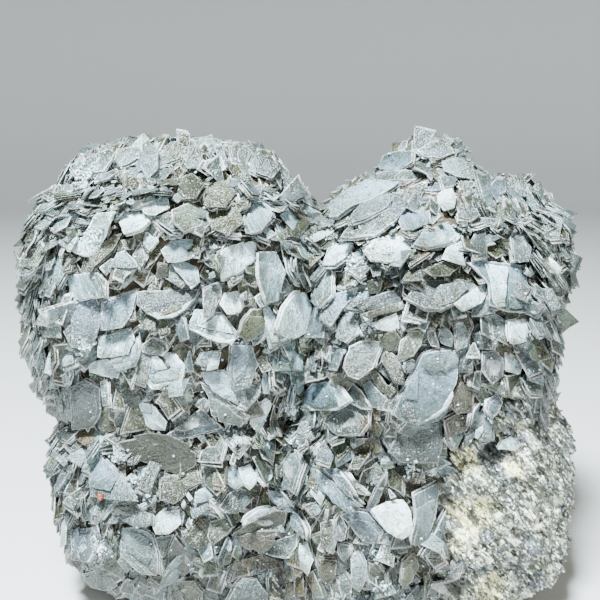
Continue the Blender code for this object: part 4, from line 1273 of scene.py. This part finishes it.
def lay_blade(heap, name, spec, tree, names, rng):
    """One large blade with its chipped outline, its bowed face, the sheets behind it and its facets."""
    tint, _, _, outline = spec
    for steepness in STEEPNESS:
        held, facing, run = front_plane(spec, tree, names, steepness)
        corners = on_plane(outline, held, facing)
        if max(stand_off(corner, tree) for corner in corners) < HIGHEST:
            break
    middle = sum(corners, Vector()) / len(corners)
    place = turned_to(facing, run, middle)
    flat = [(place.inverted() @ corner).to_2d() for corner in corners]
    size = max(point.length for point in flat)
    colour = shaded(tint, BLADE_SHADES, rng)
    worn = rng.uniform(*BLADE_WEAR) * WEAR.get(tint, 1.0)
    finish = int(tint == "frosted")
    if finish:
        worn = max(worn, LEAST_FROSTED_WEAR)
    bow = Bow(rng)
    thick = SHEET_THICK + THICKER_BY * size
    depth = 0.0
    for sheet in range(rng.choice(SHEETS)):
        plate = Plate(chipped(flat, rng), thick, finish)
        plate.points[:, 2] += bow.rise(plate.points) - thick
        shift = Vector((0.0, 0.0, depth))
        if sheet:
            shift += Vector((rng.uniform(*SLIP_ACROSS), rng.uniform(*SLIP_ALONG), 0.0))
        heap.lay(plate, place @ Matrix.Translation(shift), colour, worn, rng)
        depth -= thick + rng.uniform(*SHEET_GAP)
        thick *= SHEET_THINNING
    layers = rng.choice(LAYERS) if size > LAYERED_FROM and name not in FACETS else 0
    for _ in range(layers):
        share = rng.uniform(*LAYER_SHARE)
        anchor = Vector((rng.uniform(-0.3, 0.3), rng.uniform(0.3, 0.9))) * size
        layer = [anchor + (corner - anchor) * share for corner in flat]
        plate = Plate(chipped(layer, rng), LAYER_THICK, finish)
        plate.points[:, 2] += bow.rise(plate.points) - LAYER_SINK
        heap.lay(plate, place, colour, worn * LAYER_WEAR, rng)
    for order, facet in enumerate(FACETS.get(name, ())):
        lay_facet(heap, facet, order, held, facing, place, bow, worn * FACET_WEAR, rng)


def large_blades():
    """All the large blades, one heap for each part of the front."""
    rng = random.Random(5)
    heaps = []
    for name, group in GROUPS.items():
        heap = Heap(name, [clear_calcite, frosted_calcite])
        for blade, spec in group.items():
            lay_blade(heap, blade, spec, mound_tree, MOUND_NAMES, rng)
        heaps.append(heap)
    return heaps


large = large_blades()
print("plates of the large blades:", sum(len(heap.sizes) for heap in large))

# %% [markdown]
# ## Small blades by the thousand
# Between the large blades the crust is made of blades one to seven millimetres long. Eight outlines are
# modelled once as single plates and once as little stacks, and copied with a turn, a size and a colour of
# their own. Before a copy is laid down it is sighted: if it would stand in front of a large blade or of the
# bare rock, it is left out.

# %% The patterns to copy
# outlines about 2 mm long, root at the top
SHARDS = {
    "slab": [(-0.5, 1.0), (0.5, 0.95), (0.55, -0.8), (-0.35, -1.0)],
    "wedge": [(-0.65, 0.9), (0.6, 0.8), (0.15, -1.1), (-0.15, -1.0)],
    "rhomb": [(0.0, 1.1), (0.7, 0.1), (0.05, -1.1), (-0.65, 0.0)],
    "lance": [(-0.3, 1.0), (0.35, 0.9), (0.45, 0.0), (0.05, -1.3), (-0.4, -0.1)],
    "half_hexagon": [(-0.9, 0.6), (0.9, 0.6), (0.8, -0.2), (0.35, -0.75), (-0.4, -0.7), (-0.85, -0.1)],
    "kite": [(-0.5, 0.8), (0.4, 0.9), (0.8, -0.1), (0.1, -1.2), (-0.6, -0.5)],
    "triangle": [(-0.85, 0.7), (0.75, 0.8), (0.1, -1.1), (-0.1, -1.15)],
    "chip": [(-0.5, 0.6), (0.55, 0.5), (0.5, -0.6), (-0.3, -0.7)],
}
SHARD_THICK = 0.13
SHARD_RINGS = (0.22,)
SHARD_SIZES = (0.85, 1.1)  # of the sheets in a stack, against the outline
SHARD_GAP = (0.16, 0.25)  # from sheet to sheet
SHARD_SLIP = ((-0.1, 0.1), (-0.18, 0.08))  # across and along


def make_patterns():
    """Each shard as a single plate, and as a stack of two to four."""
    rng = random.Random(11)
    singles, stacks = [], []
    for number, outline in enumerate(SHARDS.values()):
        points = [Vector(corner) for corner in outline]
        singles.append([Plate(points, SHARD_THICK, face_rings=SHARD_RINGS)])
        stack = []
        for sheet in range(2 + number % 3):
            moved = [point * rng.uniform(*SHARD_SIZES) for point in points]
            plate = Plate(moved, SHARD_THICK, face_rings=SHARD_RINGS)
            plate.points[:, 2] -= sheet * rng.uniform(*SHARD_GAP)
            plate.points[:, :2] += [rng.uniform(*slip) for slip in SHARD_SLIP]
            stack.append(plate)
        stacks.append(stack)
    return singles, stacks


SINGLES, STACKS = make_patterns()
print("patterns:", len(SINGLES) + len(STACKS))

# %% [markdown]
# ## Room, sight and lean
# A scatter that knew nothing of its neighbours would pile blades on each other in one place and leave holes
# in another. So each spot is asked whether there is room, whether a large blade or the bare rock would be
# hidden, and which way the neighbours lean. The lean comes from a slow noise, so it changes little from blade
# to blade.

# %% Where small blades go
BARE_SHARE = 0.4  # a place counts as bare where the mark of a bare spot is above this
HIDES_BY = 0.02  # how far in front of a large blade a point has to be to hide it
LEAST_TURNED = 0.05  # a spot that is turned to the eye by less than this is not part of the front


class Spacing:
    """Keeps laid spots a distance apart, with a grid of cells to look them up in."""

    def __init__(self, gap):
        self.gap = gap
        self.cells = {}

    def take(self, spot):
        """True, and the spot is kept, if no kept spot is nearer than the gap."""
        key = tuple(int(part // self.gap) for part in spot)
        for cell in product(*((part - 1, part, part + 1) for part in key)):
            if any((spot - kept).length < self.gap for kept in self.cells.get(cell, ())):
                return False
        self.cells.setdefault(key, []).append(spot)
        return True


def blade_tree(heaps):
    """All the large blades as one tree."""
    points = np.concatenate([part for heap in heaps for part in heap.points])
    faces, first = [], 0
    for heap in heaps:
        at = 0
        corners = np.concatenate(heap.corners)
        for size in np.concatenate(heap.sizes):
            faces.append([int(corner) + first for corner in corners[at:at + size]])
            at += size
        first += heap.count
    return BVHTree.FromPolygons([Vector(point) for point in points], faces)


large_tree = blade_tree(large)


def hides_large(points):
    """True where any of the points stands in front of a large blade, as seen by the eye."""
    for point in points:
        way = point - EYE
        hit = large_tree.ray_cast(EYE, way.normalized())[3]
        if hit is not None and hit > way.length + HIDES_BY:
            return True
    return False


def is_bare(points):
    """True where any of the points is seen in front of the bare rock."""
    return near_spots(np.array(points), BARE_SPOTS).max() > BARE_SHARE


def random_spots(count, names, rng, lowest=2.0):
    """Random points on the outside of the named lumps, clear of all the others."""
    weights = [LUMPS[name][1][0] * LUMPS[name][1][2] for name in names]
    spots = []
    while len(spots) < count:
        name = rng.choices(names, weights)[0]
        spot = skin_point(name, Vector([rng.gauss(0, 1) for _ in range(3)]).normalized())
        if spot.z > lowest and all(level(other, spot) > 1.0 for other in LUMPS if other != name):
            spots.append(spot)
    return spots


def seen_from_front(spot):
    """True for a spot on the side of the crust that the eye sees."""
    return outward(spot, MOUND_NAMES).dot((EYE - spot).normalized()) > LEAST_TURNED


# %% How small blades lie
DRIFT = 80.0  # how far the direction of the roots drifts over the crust, in degrees
DRIFT_SIZE = 9.0
ROOT_SPREAD = 28  # how much it differs from blade to blade
ROLL = 0.3  # how much a blade rolls about its own length, in radians
TOP_SLOPE = 0.7  # where the crust faces up more than this, its blades are rooted below and show their faces
MOST_UPRIGHT = 0.93  # a root way that is this near the crust's normal is drawn again
ASLANT_LIFT = 0.3  # the share of its lift that a blade keeps where the crust is seen edge-on
ASLANT_SINK = 0.5  # how much deeper it lies there
ROOT_SHARE = 0.8  # of half its length: how far its middle is from the spot where it grows
THICKNESS = (0.6, 0.4)  # against the pattern's own, and how much of it comes with half its length
STACKED = 0.55  # the share of small blades that are stacks
BREADTH = (0.55, 1.1)  # against the pattern's own
SMALL_SHADES = (0.8, 1.12)
SMALL_WEAR = (0.1, 1.0)
WEAR_POWER = 1.5  # most small blades are little worn


def small_place(spot, length, lift, raised, rng):
    """The matrix that lays a small blade at a spot. It lies flatter and deeper where it is seen aslant."""
    normal = outward(spot, MOUND_NAMES)
    root = 270.0 if normal.z > TOP_SLOPE else 90.0
    root_way = sheet_way(root + DRIFT * noise.noise(spot / DRIFT_SIZE) + rng.gauss(0, ROOT_SPREAD))
    if abs(root_way.dot(normal)) > MOST_UPRIGHT:
        root_way = Vector((rng.uniform(-1, 1), rng.uniform(-1, 1), 0.1)).normalized()
    turned = max(0.0, normal.dot((EYE - spot).normalized()))
    lift_share = ASLANT_LIFT + (1.0 - ASLANT_LIFT) * turned
    run, facing = leaning(normal, root_way, rng.uniform(*lift) * lift_share)
    size = rng.uniform(*length) / 2.0
    height = rng.uniform(*raised) - ASLANT_SINK * (1.0 - turned)
    middle = spot + normal * height + run * size * ROOT_SHARE
    thick = THICKNESS[0] + THICKNESS[1] * size
    stretch = Matrix.Diagonal((size * rng.uniform(*BREADTH), size, thick, 1.0))
    return turned_to(facing, run, middle) @ Matrix.Rotation(rng.gauss(0.0, ROLL), 4, "Y") @ stretch


def scatter(heap, spots, tints, rng, count, gap, length, lift, raised):
    """Lays small blades at the spots, in a random order, until count are down or no spot is left."""
    spacing = Spacing(gap)
    laid = 0
    for spot in rng.sample(spots, len(spots)):
        if laid >= count:
            break
        if not spacing.take(spot):
            continue
        place = small_place(spot, length, lift, raised, rng)
        stack = rng.choice(STACKS if rng.random() < STACKED else SINGLES)
        corners = [place @ Vector(point) for point in stack[0].outer]
        if is_bare(corners) or hides_large(corners):
            continue
        tint = rng.choices(list(tints), list(tints.values()))[0]
        colour = shaded(tint, SMALL_SHADES, rng)
        worn = rng.uniform(*SMALL_WEAR) ** WEAR_POWER
        for plate in stack:
            heap.lay(plate, place, colour, worn, rng)
        laid += 1
    print(heap.name, "takes", laid)


# %% Lay the small blades
# how many blades of each tint there are, against the others
FREE_TINTS = {
    "frosted": 6, "milky": 12, "pale": 23, "grey": 22, "blue": 10, "green": 12, "olive": 11, "dusk": 3,
}
# the deep blades take darker, browner tints, as painted shade deep in the crust
DEEP_SHADED_TINTS = {"pale": 10, "grey": 14, "milky": 3, "green": 22, "olive": 38, "dusk": 9, "brown": 4}
CROWN_TINTS = {"frosted": 4, "milky": 14, "pale": 28, "ice": 8, "green": 20, "grey": 14, "olive": 12}
CROWN_EDGE = 235  # above this line of the sheet the tops of the mounds are packed more tightly
# the most blades, the gap between them, their length, their lift in degrees and the height of their middles
DEEP = dict(count=2100, gap=1.15, length=(3.2, 6.2), lift=(2, 24), raised=(-2.1, -1.3))
MIDDLE = dict(count=1900, gap=1.4, length=(3.2, 7.0), lift=(14, 50), raised=(-0.9, 0.3))
CHIPS = dict(count=900, gap=1.1, length=(1.2, 3.2), lift=(10, 60), raised=(-0.4, 0.9))
CROWN_DEEP = dict(count=450, gap=1.2, length=(3.0, 5.4), lift=(30, 60), raised=(-1.6, -0.9))
CROWN_CHIPS = dict(count=1000, gap=1.2, length=(2.6, 4.8), lift=(30, 60), raised=(-1.0, 0.0))
AROUND = dict(count=2200, gap=1.4, length=(2.8, 5.4), lift=(6, 40), raised=(-1.2, 0.1))
CRUST_SPOTS = 26000


def small_blades():
    """The small blades of the front from deep to fine, extra ones on its crowns, and the rest."""
    rng = random.Random(23)
    spots = random_spots(CRUST_SPOTS, MOUND_NAMES, rng)
    front = [spot for spot in spots if seen_from_front(spot)]
    crown = [spot for spot in front if on_sheet(spot)[1] < CROWN_EDGE]
    others = [spot for spot in spots if not seen_from_front(spot)]
    names = ("deep_blades_front", "small_blades_front", "chips_front", "small_blades_around")
    deep, middle, chips, around = [Heap(name, [clear_calcite]) for name in names]
    scatter(deep, front, DEEP_SHADED_TINTS, rng, **DEEP)
    scatter(middle, front, FREE_TINTS, rng, **MIDDLE)
    scatter(chips, front, FREE_TINTS, rng, **CHIPS)
    scatter(deep, crown, CROWN_TINTS, rng, **CROWN_DEEP)
    scatter(chips, crown, CROWN_TINTS, rng, **CROWN_CHIPS)
    scatter(around, others, FREE_TINTS, rng, **AROUND)
    return [deep, middle, chips, around]


small = small_blades()
blades = [heap.make() for heap in large + small]

# %% [markdown]
# ## The single blades on the rock
# Two blades stand by themselves on the bare rock. They are laid as the large ones were, but as pieces of
# their own, and each replaces its plain solid.

# %% Lay the lone blades
def lone_blade(name):
    """One blade that stands alone, as a piece of its own."""
    heap = Heap(name + "_crystal", [clear_calcite, frosted_calcite])
    lay_blade(heap, name, LONE_BLADES[name], rock_tree, ROCK_NAMES, random.Random(3))
    return heap.make()


lone = {name: lone_blade(name) for name in LONE_BLADES}

# %% [markdown]
# ## The quartz rock
# Massive quartz breaks into a coarse, sugary surface: knobs a few millimetres across, covered in grains.
# The lumps are fused as the ground was, then pushed by three sizes of noise.

# %% Shape the rock
ROCK_VOXEL = 0.62
ROUGH = 2.2  # the height of the whole relief
KNOBS = ((1.0, 7.0), (0.5, 3.0))  # share and size of its lumps and knobs
KNOB_SHARE = 0.9
RIDGE_SHARE = 0.5
RIDGE_SIZE = 1.6
RIDGE_LENGTH = 3.0  # against its breadth
SLANT = math.radians(51.5)  # how steeply the ridges of the rock run down to the right
GRAIN_SLANT = ACROSS * math.cos(SLANT) - Vector((0.0, 0.0, 1.0)) * math.sin(SLANT)
GRAIN_SIDE = GRAIN_SLANT.cross(Vector((0.0, 1.0, 0.0)))


def slanted(place):
    """A place in the rock's own directions, stretched along the slant of its ridges."""
    return Vector((place.dot(GRAIN_SLANT) / RIDGE_LENGTH, place.dot(GRAIN_SIDE), place.y * 0.6))


def rock_relief(place):
    """The broken surface of the rock: big lumps, knobs and slanting ridges."""
    lumps = sum(share * noise.noise(place / size) for share, size in KNOBS)
    ridge = 0.4 - abs(noise.noise(slanted(place) / RIDGE_SIZE)) * 2.0
    return (lumps * KNOB_SHARE + ridge * RIDGE_SHARE) * ROUGH


rock = fused_lumps("quartz_rock", ROCK, 0.0, ROCK_VOXEL)
push_along_normals(rock, rock_relief)
cut_flat(rock, 0.0)
print("rock:", len(rock.data.polygons), "faces")

# %% [markdown]
# ## The finish of the rock
# Massive quartz is cream, white and blue-grey in streaks that follow its slanting ridges, with yellow stains
# and thin dark cracks. Its gaps and hollows are painted dark as shade. The rock and its grains share one
# colour field, so they read as one material.

# %% Quartz
YELLOW_SPOTS = {
    "cap": (467, 459, 13),
    "shelf": (458, 510, 14),
    "ledge": (474, 523, 14),
    "slope": (486, 505, 10),
    "foot": (455, 545, 9),
    "edge": (515, 470, 9),
    "low": (488, 590, 14),
}
# places where dark shade is painted on the rock: its gaps, holes and foot
ROCK_SHADE_SPOTS = {
    "left_gap": (445, 500, 7),
    "low_gap": (450, 560, 8),
    "right_hole": (514, 480, 5),
    "middle": (508, 518, 6),
    "foot": (455, 585, 14),
}
ROCK_MARKS = {"yellow": YELLOW_SPOTS, "dark": ROCK_SHADE_SPOTS}
QUARTZ_IOR = 1.54
QUARTZ_BLUE = (0.15, 0.18, 0.195)
QUARTZ_CREAM = (0.60, 0.66, 0.44)
QUARTZ_WHITE = (0.97, 1.0, 0.93)
QUARTZ_YELLOW = (0.98, 0.94, 0.52)
QUARTZ_DARK = (0.055, 0.053, 0.042)
STREAKED = (2.6, 1.3, 1.0)  # how much the pattern is drawn out along its three ways
HOLLOW_SIZE = 1.5
PATCH_SIZE = 3.6
FLECK_SIZE = 0.55


def quartz_finish(name, roughness, tinted):
    """Granular quartz. With tinted, each grain's own tint shades the common colour field."""
    finish = Finish(name, roughness=roughness, ior=QUARTZ_IOR)
    aslant = finish.node("ShaderNodeMapping", {"vector_type": "TEXTURE"}, Vector=finish.place,
                         Rotation=(0.0, SLANT, 0.0), Scale=STREAKED).outputs["Vector"]
    patches = finish.noise(PATCH_SIZE, detail=4.0, roughness=0.6, place=aslant)
    flecks = finish.noise(FLECK_SIZE, detail=4.0, roughness=0.75, place=aslant)
    hollows = finish.noise(HOLLOW_SIZE, place=aslant)
    wander = finish.noise(HOLLOW_SIZE, detail=3.0, roughness=0.6, place=aslant) - 0.5
    cracks = 1.0 - finish.ramp(abs(wander), 0.004, 0.022)
    base = finish.mix(finish.ramp(patches, 0.44, 0.56), QUARTZ_BLUE, QUARTZ_CREAM)
    base = finish.mix(finish.ramp(flecks + (patches - 0.5) * 0.5, 0.52, 0.58) * 0.95, base, QUARTZ_WHITE)
    yellow = finish.ramp(finish.attribute("yellow") + (patches - 0.5) * 2.0, 0.2, 0.6)
    base = finish.mix(yellow * 0.8, base, QUARTZ_YELLOW)
    dark = (1.0 - finish.ramp(flecks * 0.6 + hollows * 0.4, 0.47, 0.51)) * 0.92
    # the cracks, and painted shade at the rock's gaps and hollows
    dark = dark.above(cracks * 0.9).above(finish.ramp(finish.attribute("dark") + (flecks - 0.5), 0.4, 0.8))
    base = finish.mix(dark, base, QUARTZ_DARK)
    if tinted:
        base = finish.mix(1.0, base, finish.attribute("tint", "Color"), "MULTIPLY")
    finish.colour(base)
    finish.bump(flecks + hollows - cracks, 0.4)
    return finish.material


rock.data.materials.append(quartz_finish("granular_quartz", 0.6, tinted=False))
rock_places = points_of(rock.data) / MM
for name, spots in ROCK_MARKS.items():
    note_on_points(rock.data, name, "FLOAT", near_spots(rock_places, spots))
print("marks on the rock:", *ROCK_MARKS)

# %% [markdown]
# ## The grains of the rock
# A noise cannot make the grain of massive quartz, because every grain is a small splinter that casts its own
# shadow. A few grains are modelled from rough blocks and balls. On the bare patch of the front they are drawn
# out along the slant of the ridges, and on the sides and the back they are blockier and sit deeper.

# %% Model the grains
GRAIN_SIZE = 0.8
GRAIN_PUSH = (0.55, 1.4)  # how far a corner of a grain is pushed in or out
GRAIN_SHAPES = 9
# stretch along the three ways, how much the direction strays, how deep and how high a grain sits
SPLINTERS = {"stretch": (0.7, 1.7, 0.6), "astray": 0.3, "sink": (-0.5, 0.35)}
BLOCKS = {"stretch": (1.1, 1.3, 0.8), "astray": 0.9, "sink": (-0.7, 0.0)}


def model_grain(number):
    """A small block, modelled from a cube or a ball whose corners are pushed in and out."""
    rng = random.Random(number)
    start_clean()
    if number % 3:
        bpy.ops.mesh.primitive_cube_add(size=GRAIN_SIZE)
    else:
        bpy.ops.mesh.primitive_ico_sphere_add(subdivisions=1, radius=0.5)
    made = bpy.context.active_object
    for vert in made.data.vertices:
        vert.co = Vector([part * rng.uniform(*GRAIN_PUSH) for part in vert.co])
    return Form(made)


GRAINS = [model_grain(number) for number in range(GRAIN_SHAPES)]
grain_material = quartz_finish("quartz_grain", 0.5, tinted=True)
print("grain shapes:", len(GRAINS))


# %% Lay the grains
BARE_DEPTH = 0.9  # how deep below the crust's own form the rock comes through
ROCK_SPOTS = 42000
LOWEST_GRAIN = 0.6
BARE_GRAINS = 900  # for each bare place
PATCH_LEFT = 8.0  # the bare patch of the front starts here and reaches back as far as the next
PATCH_BACK = 2.0
GRAIN_SIZES = (0.8, 1.2)  # of each of the three ways
GRAIN_SHADES = (0.8, 1.1)
GRAIN_WARMTH = (0.93, 1.05)
GRAIN_WEAR = 0.5


def lay_grains(heap, spots, names, kind, gap, size, rng):
    """Grains of a kind side by side on the named lumps."""
    spacing = Spacing(gap)
    for spot in spots:
        if not spacing.take(spot):
            continue
        normal = outward(spot, names)
        place = spot + normal * (rock_relief(spot) + rng.uniform(*kind["sink"]))
        along = (GRAIN_SLANT + Vector([rng.gauss(0, kind["astray"]) for _ in range(3)])).normalized()
        if abs(along.dot(normal)) > 0.95:
            along = normal.orthogonal()
        side = along.cross(normal).normalized()
        out = side.cross(along).normalized()
        length = rng.uniform(*size)
        sides = [part * length * rng.uniform(*GRAIN_SIZES) for part in kind["stretch"]]
        shade = rng.uniform(*GRAIN_SHADES)
        tint = (shade, shade, shade * rng.uniform(*GRAIN_WARMTH))
        grain = axes_at(side, along, out, place) @ Matrix.Diagonal(sides + [1.0])
        heap.lay(rng.choice(GRAINS), grain, tint, GRAIN_WEAR, rng)


def in_front_patch(spot):
    """True on the bare rock of the lower right front."""
    return spot.x > PATCH_LEFT and spot.y < PATCH_BACK


def bare_spots(count, rng):
    """Points of the crust where the rock comes through, found along lines of sight."""
    found = []
    for bare in BARE_SPOTS.values():
        radius = bare[2]
        for _ in range(count):
            angle, reach = rng.uniform(0, math.tau), radius * math.sqrt(rng.random())
            spot, normal = mound_tree.ray_cast(EYE, sight(*about(bare, angle, reach)))[:2]
            if spot:
                found.append(spot - normal * BARE_DEPTH)
    return found


def rock_grains():
    """Fine grains on the bare patch of the front, and coarser ones on the sides and the back."""
    rng = random.Random(31)
    spots = random_spots(ROCK_SPOTS, ROCK_NAMES, rng, LOWEST_GRAIN)
    patch = Heap("quartz_grains_front", [grain_material], ROCK_MARKS)
    rest = Heap("quartz_grains_back", [grain_material], ROCK_MARKS)
    front = [spot for spot in spots if in_front_patch(spot)]
    others = [spot for spot in spots if not in_front_patch(spot)]
    lay_grains(patch, front, ROCK_NAMES, SPLINTERS, gap=0.5, size=(0.4, 1.2), rng=rng)
    bare = bare_spots(BARE_GRAINS, rng)
    lay_grains(patch, bare, MOUND_NAMES, SPLINTERS, gap=0.4, size=(0.6, 1.4), rng=rng)
    lay_grains(rest, others, ROCK_NAMES, BLOCKS, gap=0.95, size=(0.8, 2.0), rng=rng)
    return [patch.make(), rest.make()]


grains = rock_grains()

# %% [markdown]
# ## Sugar on the blades
# The white crust on some places is real relief: tiny rhombs of late calcite, about a third of a millimetre
# across. They are dropped along the line of sight, so each lies on whatever blade is seen there.

# %% Drop the sugar
SUGAR_SIZE = (0.18, 0.42)
SUGAR_DENSITY = 0.4  # rhombs on each square unit of the sheet
SUGAR_SPREAD = 0.55  # in radii of the druse place
SPRINKLED = 400
SPRINKLE_SIZE = (0.15, 0.35)
SPRINKLE_ACROSS = (60, 540)
SPRINKLE_DOWN = (150, 600)
RED_GRAIN = (101, 497)
RED_TINT = (0.30, 0.07, 0.03)
RED_SIZE = 1.3
SUGAR_WEAR = 0.6
SUGAR_LIFT = 0.2  # of its size, off the face that it lies on
RHOMB_LEAN = 0.22
DEEPEST_DROP = 20.0  # past this depth a line of sight has missed the front


def model_rhomb():
    """A calcite rhomb: a cube pushed over along its own diagonal."""
    start_clean()
    bpy.ops.mesh.primitive_cube_add(size=1.0)
    made = bpy.context.active_object
    for vert in made.data.vertices:
        vert.co = vert.co + Vector((vert.co.z, vert.co.x, vert.co.y)) * RHOMB_LEAN
    return Form(made)


def drop(heap, across, down, form, size, tint, rng):
    """Lays a crumb where the line of sight through a point of the sheet meets the specimen."""
    depsgraph = bpy.context.evaluated_depsgraph_get()
    hit, place, normal, _, _, _ = bpy.context.scene.ray_cast(depsgraph, EYE * MM, sight(across, down))
    if not hit or place.y / MM > DEEPEST_DROP:
        return
    turn = Matrix.Rotation(rng.uniform(0, math.tau), 4, "Z")
    turn = turn @ Matrix.Rotation(rng.uniform(0, math.tau), 4, "X")
    place = place / MM + normal * size * SUGAR_LIFT
    heap.lay(form, Matrix.Translation(place) @ turn @ Matrix.Scale(size, 4), tint, SUGAR_WEAR, rng)


def sugar_crust():
    """Sugar in the druse places, a sprinkling elsewhere, and one red-brown grain."""
    rng = random.Random(47)
    rhomb = model_rhomb()
    heap = Heap("sugar_crystals", [frosted_calcite])
    for spot in DRUSE_SPOTS.values():
        radius = spot[2]
        for _ in range(int(radius ** 2 * SUGAR_DENSITY)):
            angle, reach = rng.uniform(0, math.tau), radius * abs(rng.gauss(0, SUGAR_SPREAD))
            across, down = about(spot, angle, reach)
            drop(heap, across, down, rhomb, rng.uniform(*SUGAR_SIZE), TINTS["frosted"], rng)
    for _ in range(SPRINKLED):
        across, down = rng.uniform(*SPRINKLE_ACROSS), rng.uniform(*SPRINKLE_DOWN)
        drop(heap, across, down, rhomb, rng.uniform(*SPRINKLE_SIZE), TINTS["frosted"], rng)
    drop(heap, *RED_GRAIN, GRAINS[0], RED_SIZE, RED_TINT, rng)
    return heap.make()


sugar = sugar_crust()

# %% [markdown]
# ## Ride and replace
# Every piece moves with the one body of the specimen. The new pieces stand for the plain solids, which are
# then not shown.

# %% Tie the pieces to the frame
for piece in [ground, *blades, *lone.values(), sugar]:
    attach(piece, "root")
for piece in [rock, *grains]:
    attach(piece, "root")
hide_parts("calcite_crust")
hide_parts("quartz_matrix")
for name, piece in lone.items():
    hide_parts(name)
print("pieces of calcite:", 2 + len(blades) + len(lone), "pieces of quartz:", 1 + len(grains))

# %% [markdown]
# ## Floor and light
# A pale floor sweeps up behind the specimen. One soft light from above and the left is small, so that the
# blades throw clear shadows on each other. A weaker, larger one stands in front at the right, and the sky is
# dim and warm.

# %% The stage
BOWL_RINGS = ((0.7, 0.0), (0.85, 0.02), (0.95, 0.09), (1.0, 0.2), (1.02, 0.55))  # radius and height in metres
BOWL_SIDES = 96
FLOOR_GREY = (0.5, 0.5, 0.495, 1.0)


def sweep_floor():
    """A round pale floor that curves up on every side, so it is also the backdrop."""
    start_clean()
    bpy.ops.mesh.primitive_circle_add(vertices=BOWL_SIDES, radius=BOWL_RINGS[0][0], fill_type="NGON")
    floor = bpy.context.active_object
    floor.name = "floor"
    bpy.ops.object.mode_set(mode="EDIT")
    bpy.ops.mesh.select_mode(type="EDGE")
    bpy.ops.mesh.select_all(action="SELECT")
    bpy.ops.mesh.region_to_loop()
    for (radius, height), (new_radius, new_height) in zip(BOWL_RINGS, BOWL_RINGS[1:]):
        wider = new_radius / radius
        bpy.ops.mesh.extrude_edges_move(TRANSFORM_OT_translate={"value": (0.0, 0.0, new_height - height)})
        bpy.ops.transform.resize(value=(wider, wider, 1.0), center_override=(0.0, 0.0, new_height))
    bpy.ops.object.mode_set(mode="OBJECT")
    bpy.ops.object.shade_smooth()
    finish = Finish("floor", roughness=0.9, ior=1.45)
    finish.set("Base Color", FLOOR_GREY)
    floor.data.materials.append(finish.material)


# %% The lights
LIT_PLACE = (0.0, 0.0, 0.05)
SKY_COLOUR = (1.0, 0.88, 0.62, 1.0)
SKY_STRENGTH = 0.16


def add_area_light(name, place, power, side, colour):
    """A square soft light at a place, turned to the specimen. Places and sides are in metres."""
    bpy.ops.object.light_add(type="AREA", location=place)
    light = bpy.context.active_object
    light.name = name
    light.rotation_euler = (Vector(LIT_PLACE) - Vector(place)).to_track_quat("-Z", "Y").to_euler()
    light.data.energy = power
    light.data.size = side
    light.data.color = colour


def add_sky():
    """An even, dim sky."""
    world = bpy.data.worlds.new("sky")
    bpy.context.scene.world = world
    world.use_nodes = True
    background = world.node_tree.nodes["Background"]
    background.inputs["Color"].default_value = SKY_COLOUR
    background.inputs["Strength"].default_value = SKY_STRENGTH


sweep_floor()
add_area_light("top_light", (-0.07, -0.19, 0.42), power=19.5, side=0.09, colour=(0.85, 0.96, 1.0))
add_area_light("fill_light", (0.16, -0.44, 0.20), power=1.6, side=0.25, colour=(1.0, 1.0, 0.92))
add_sky()
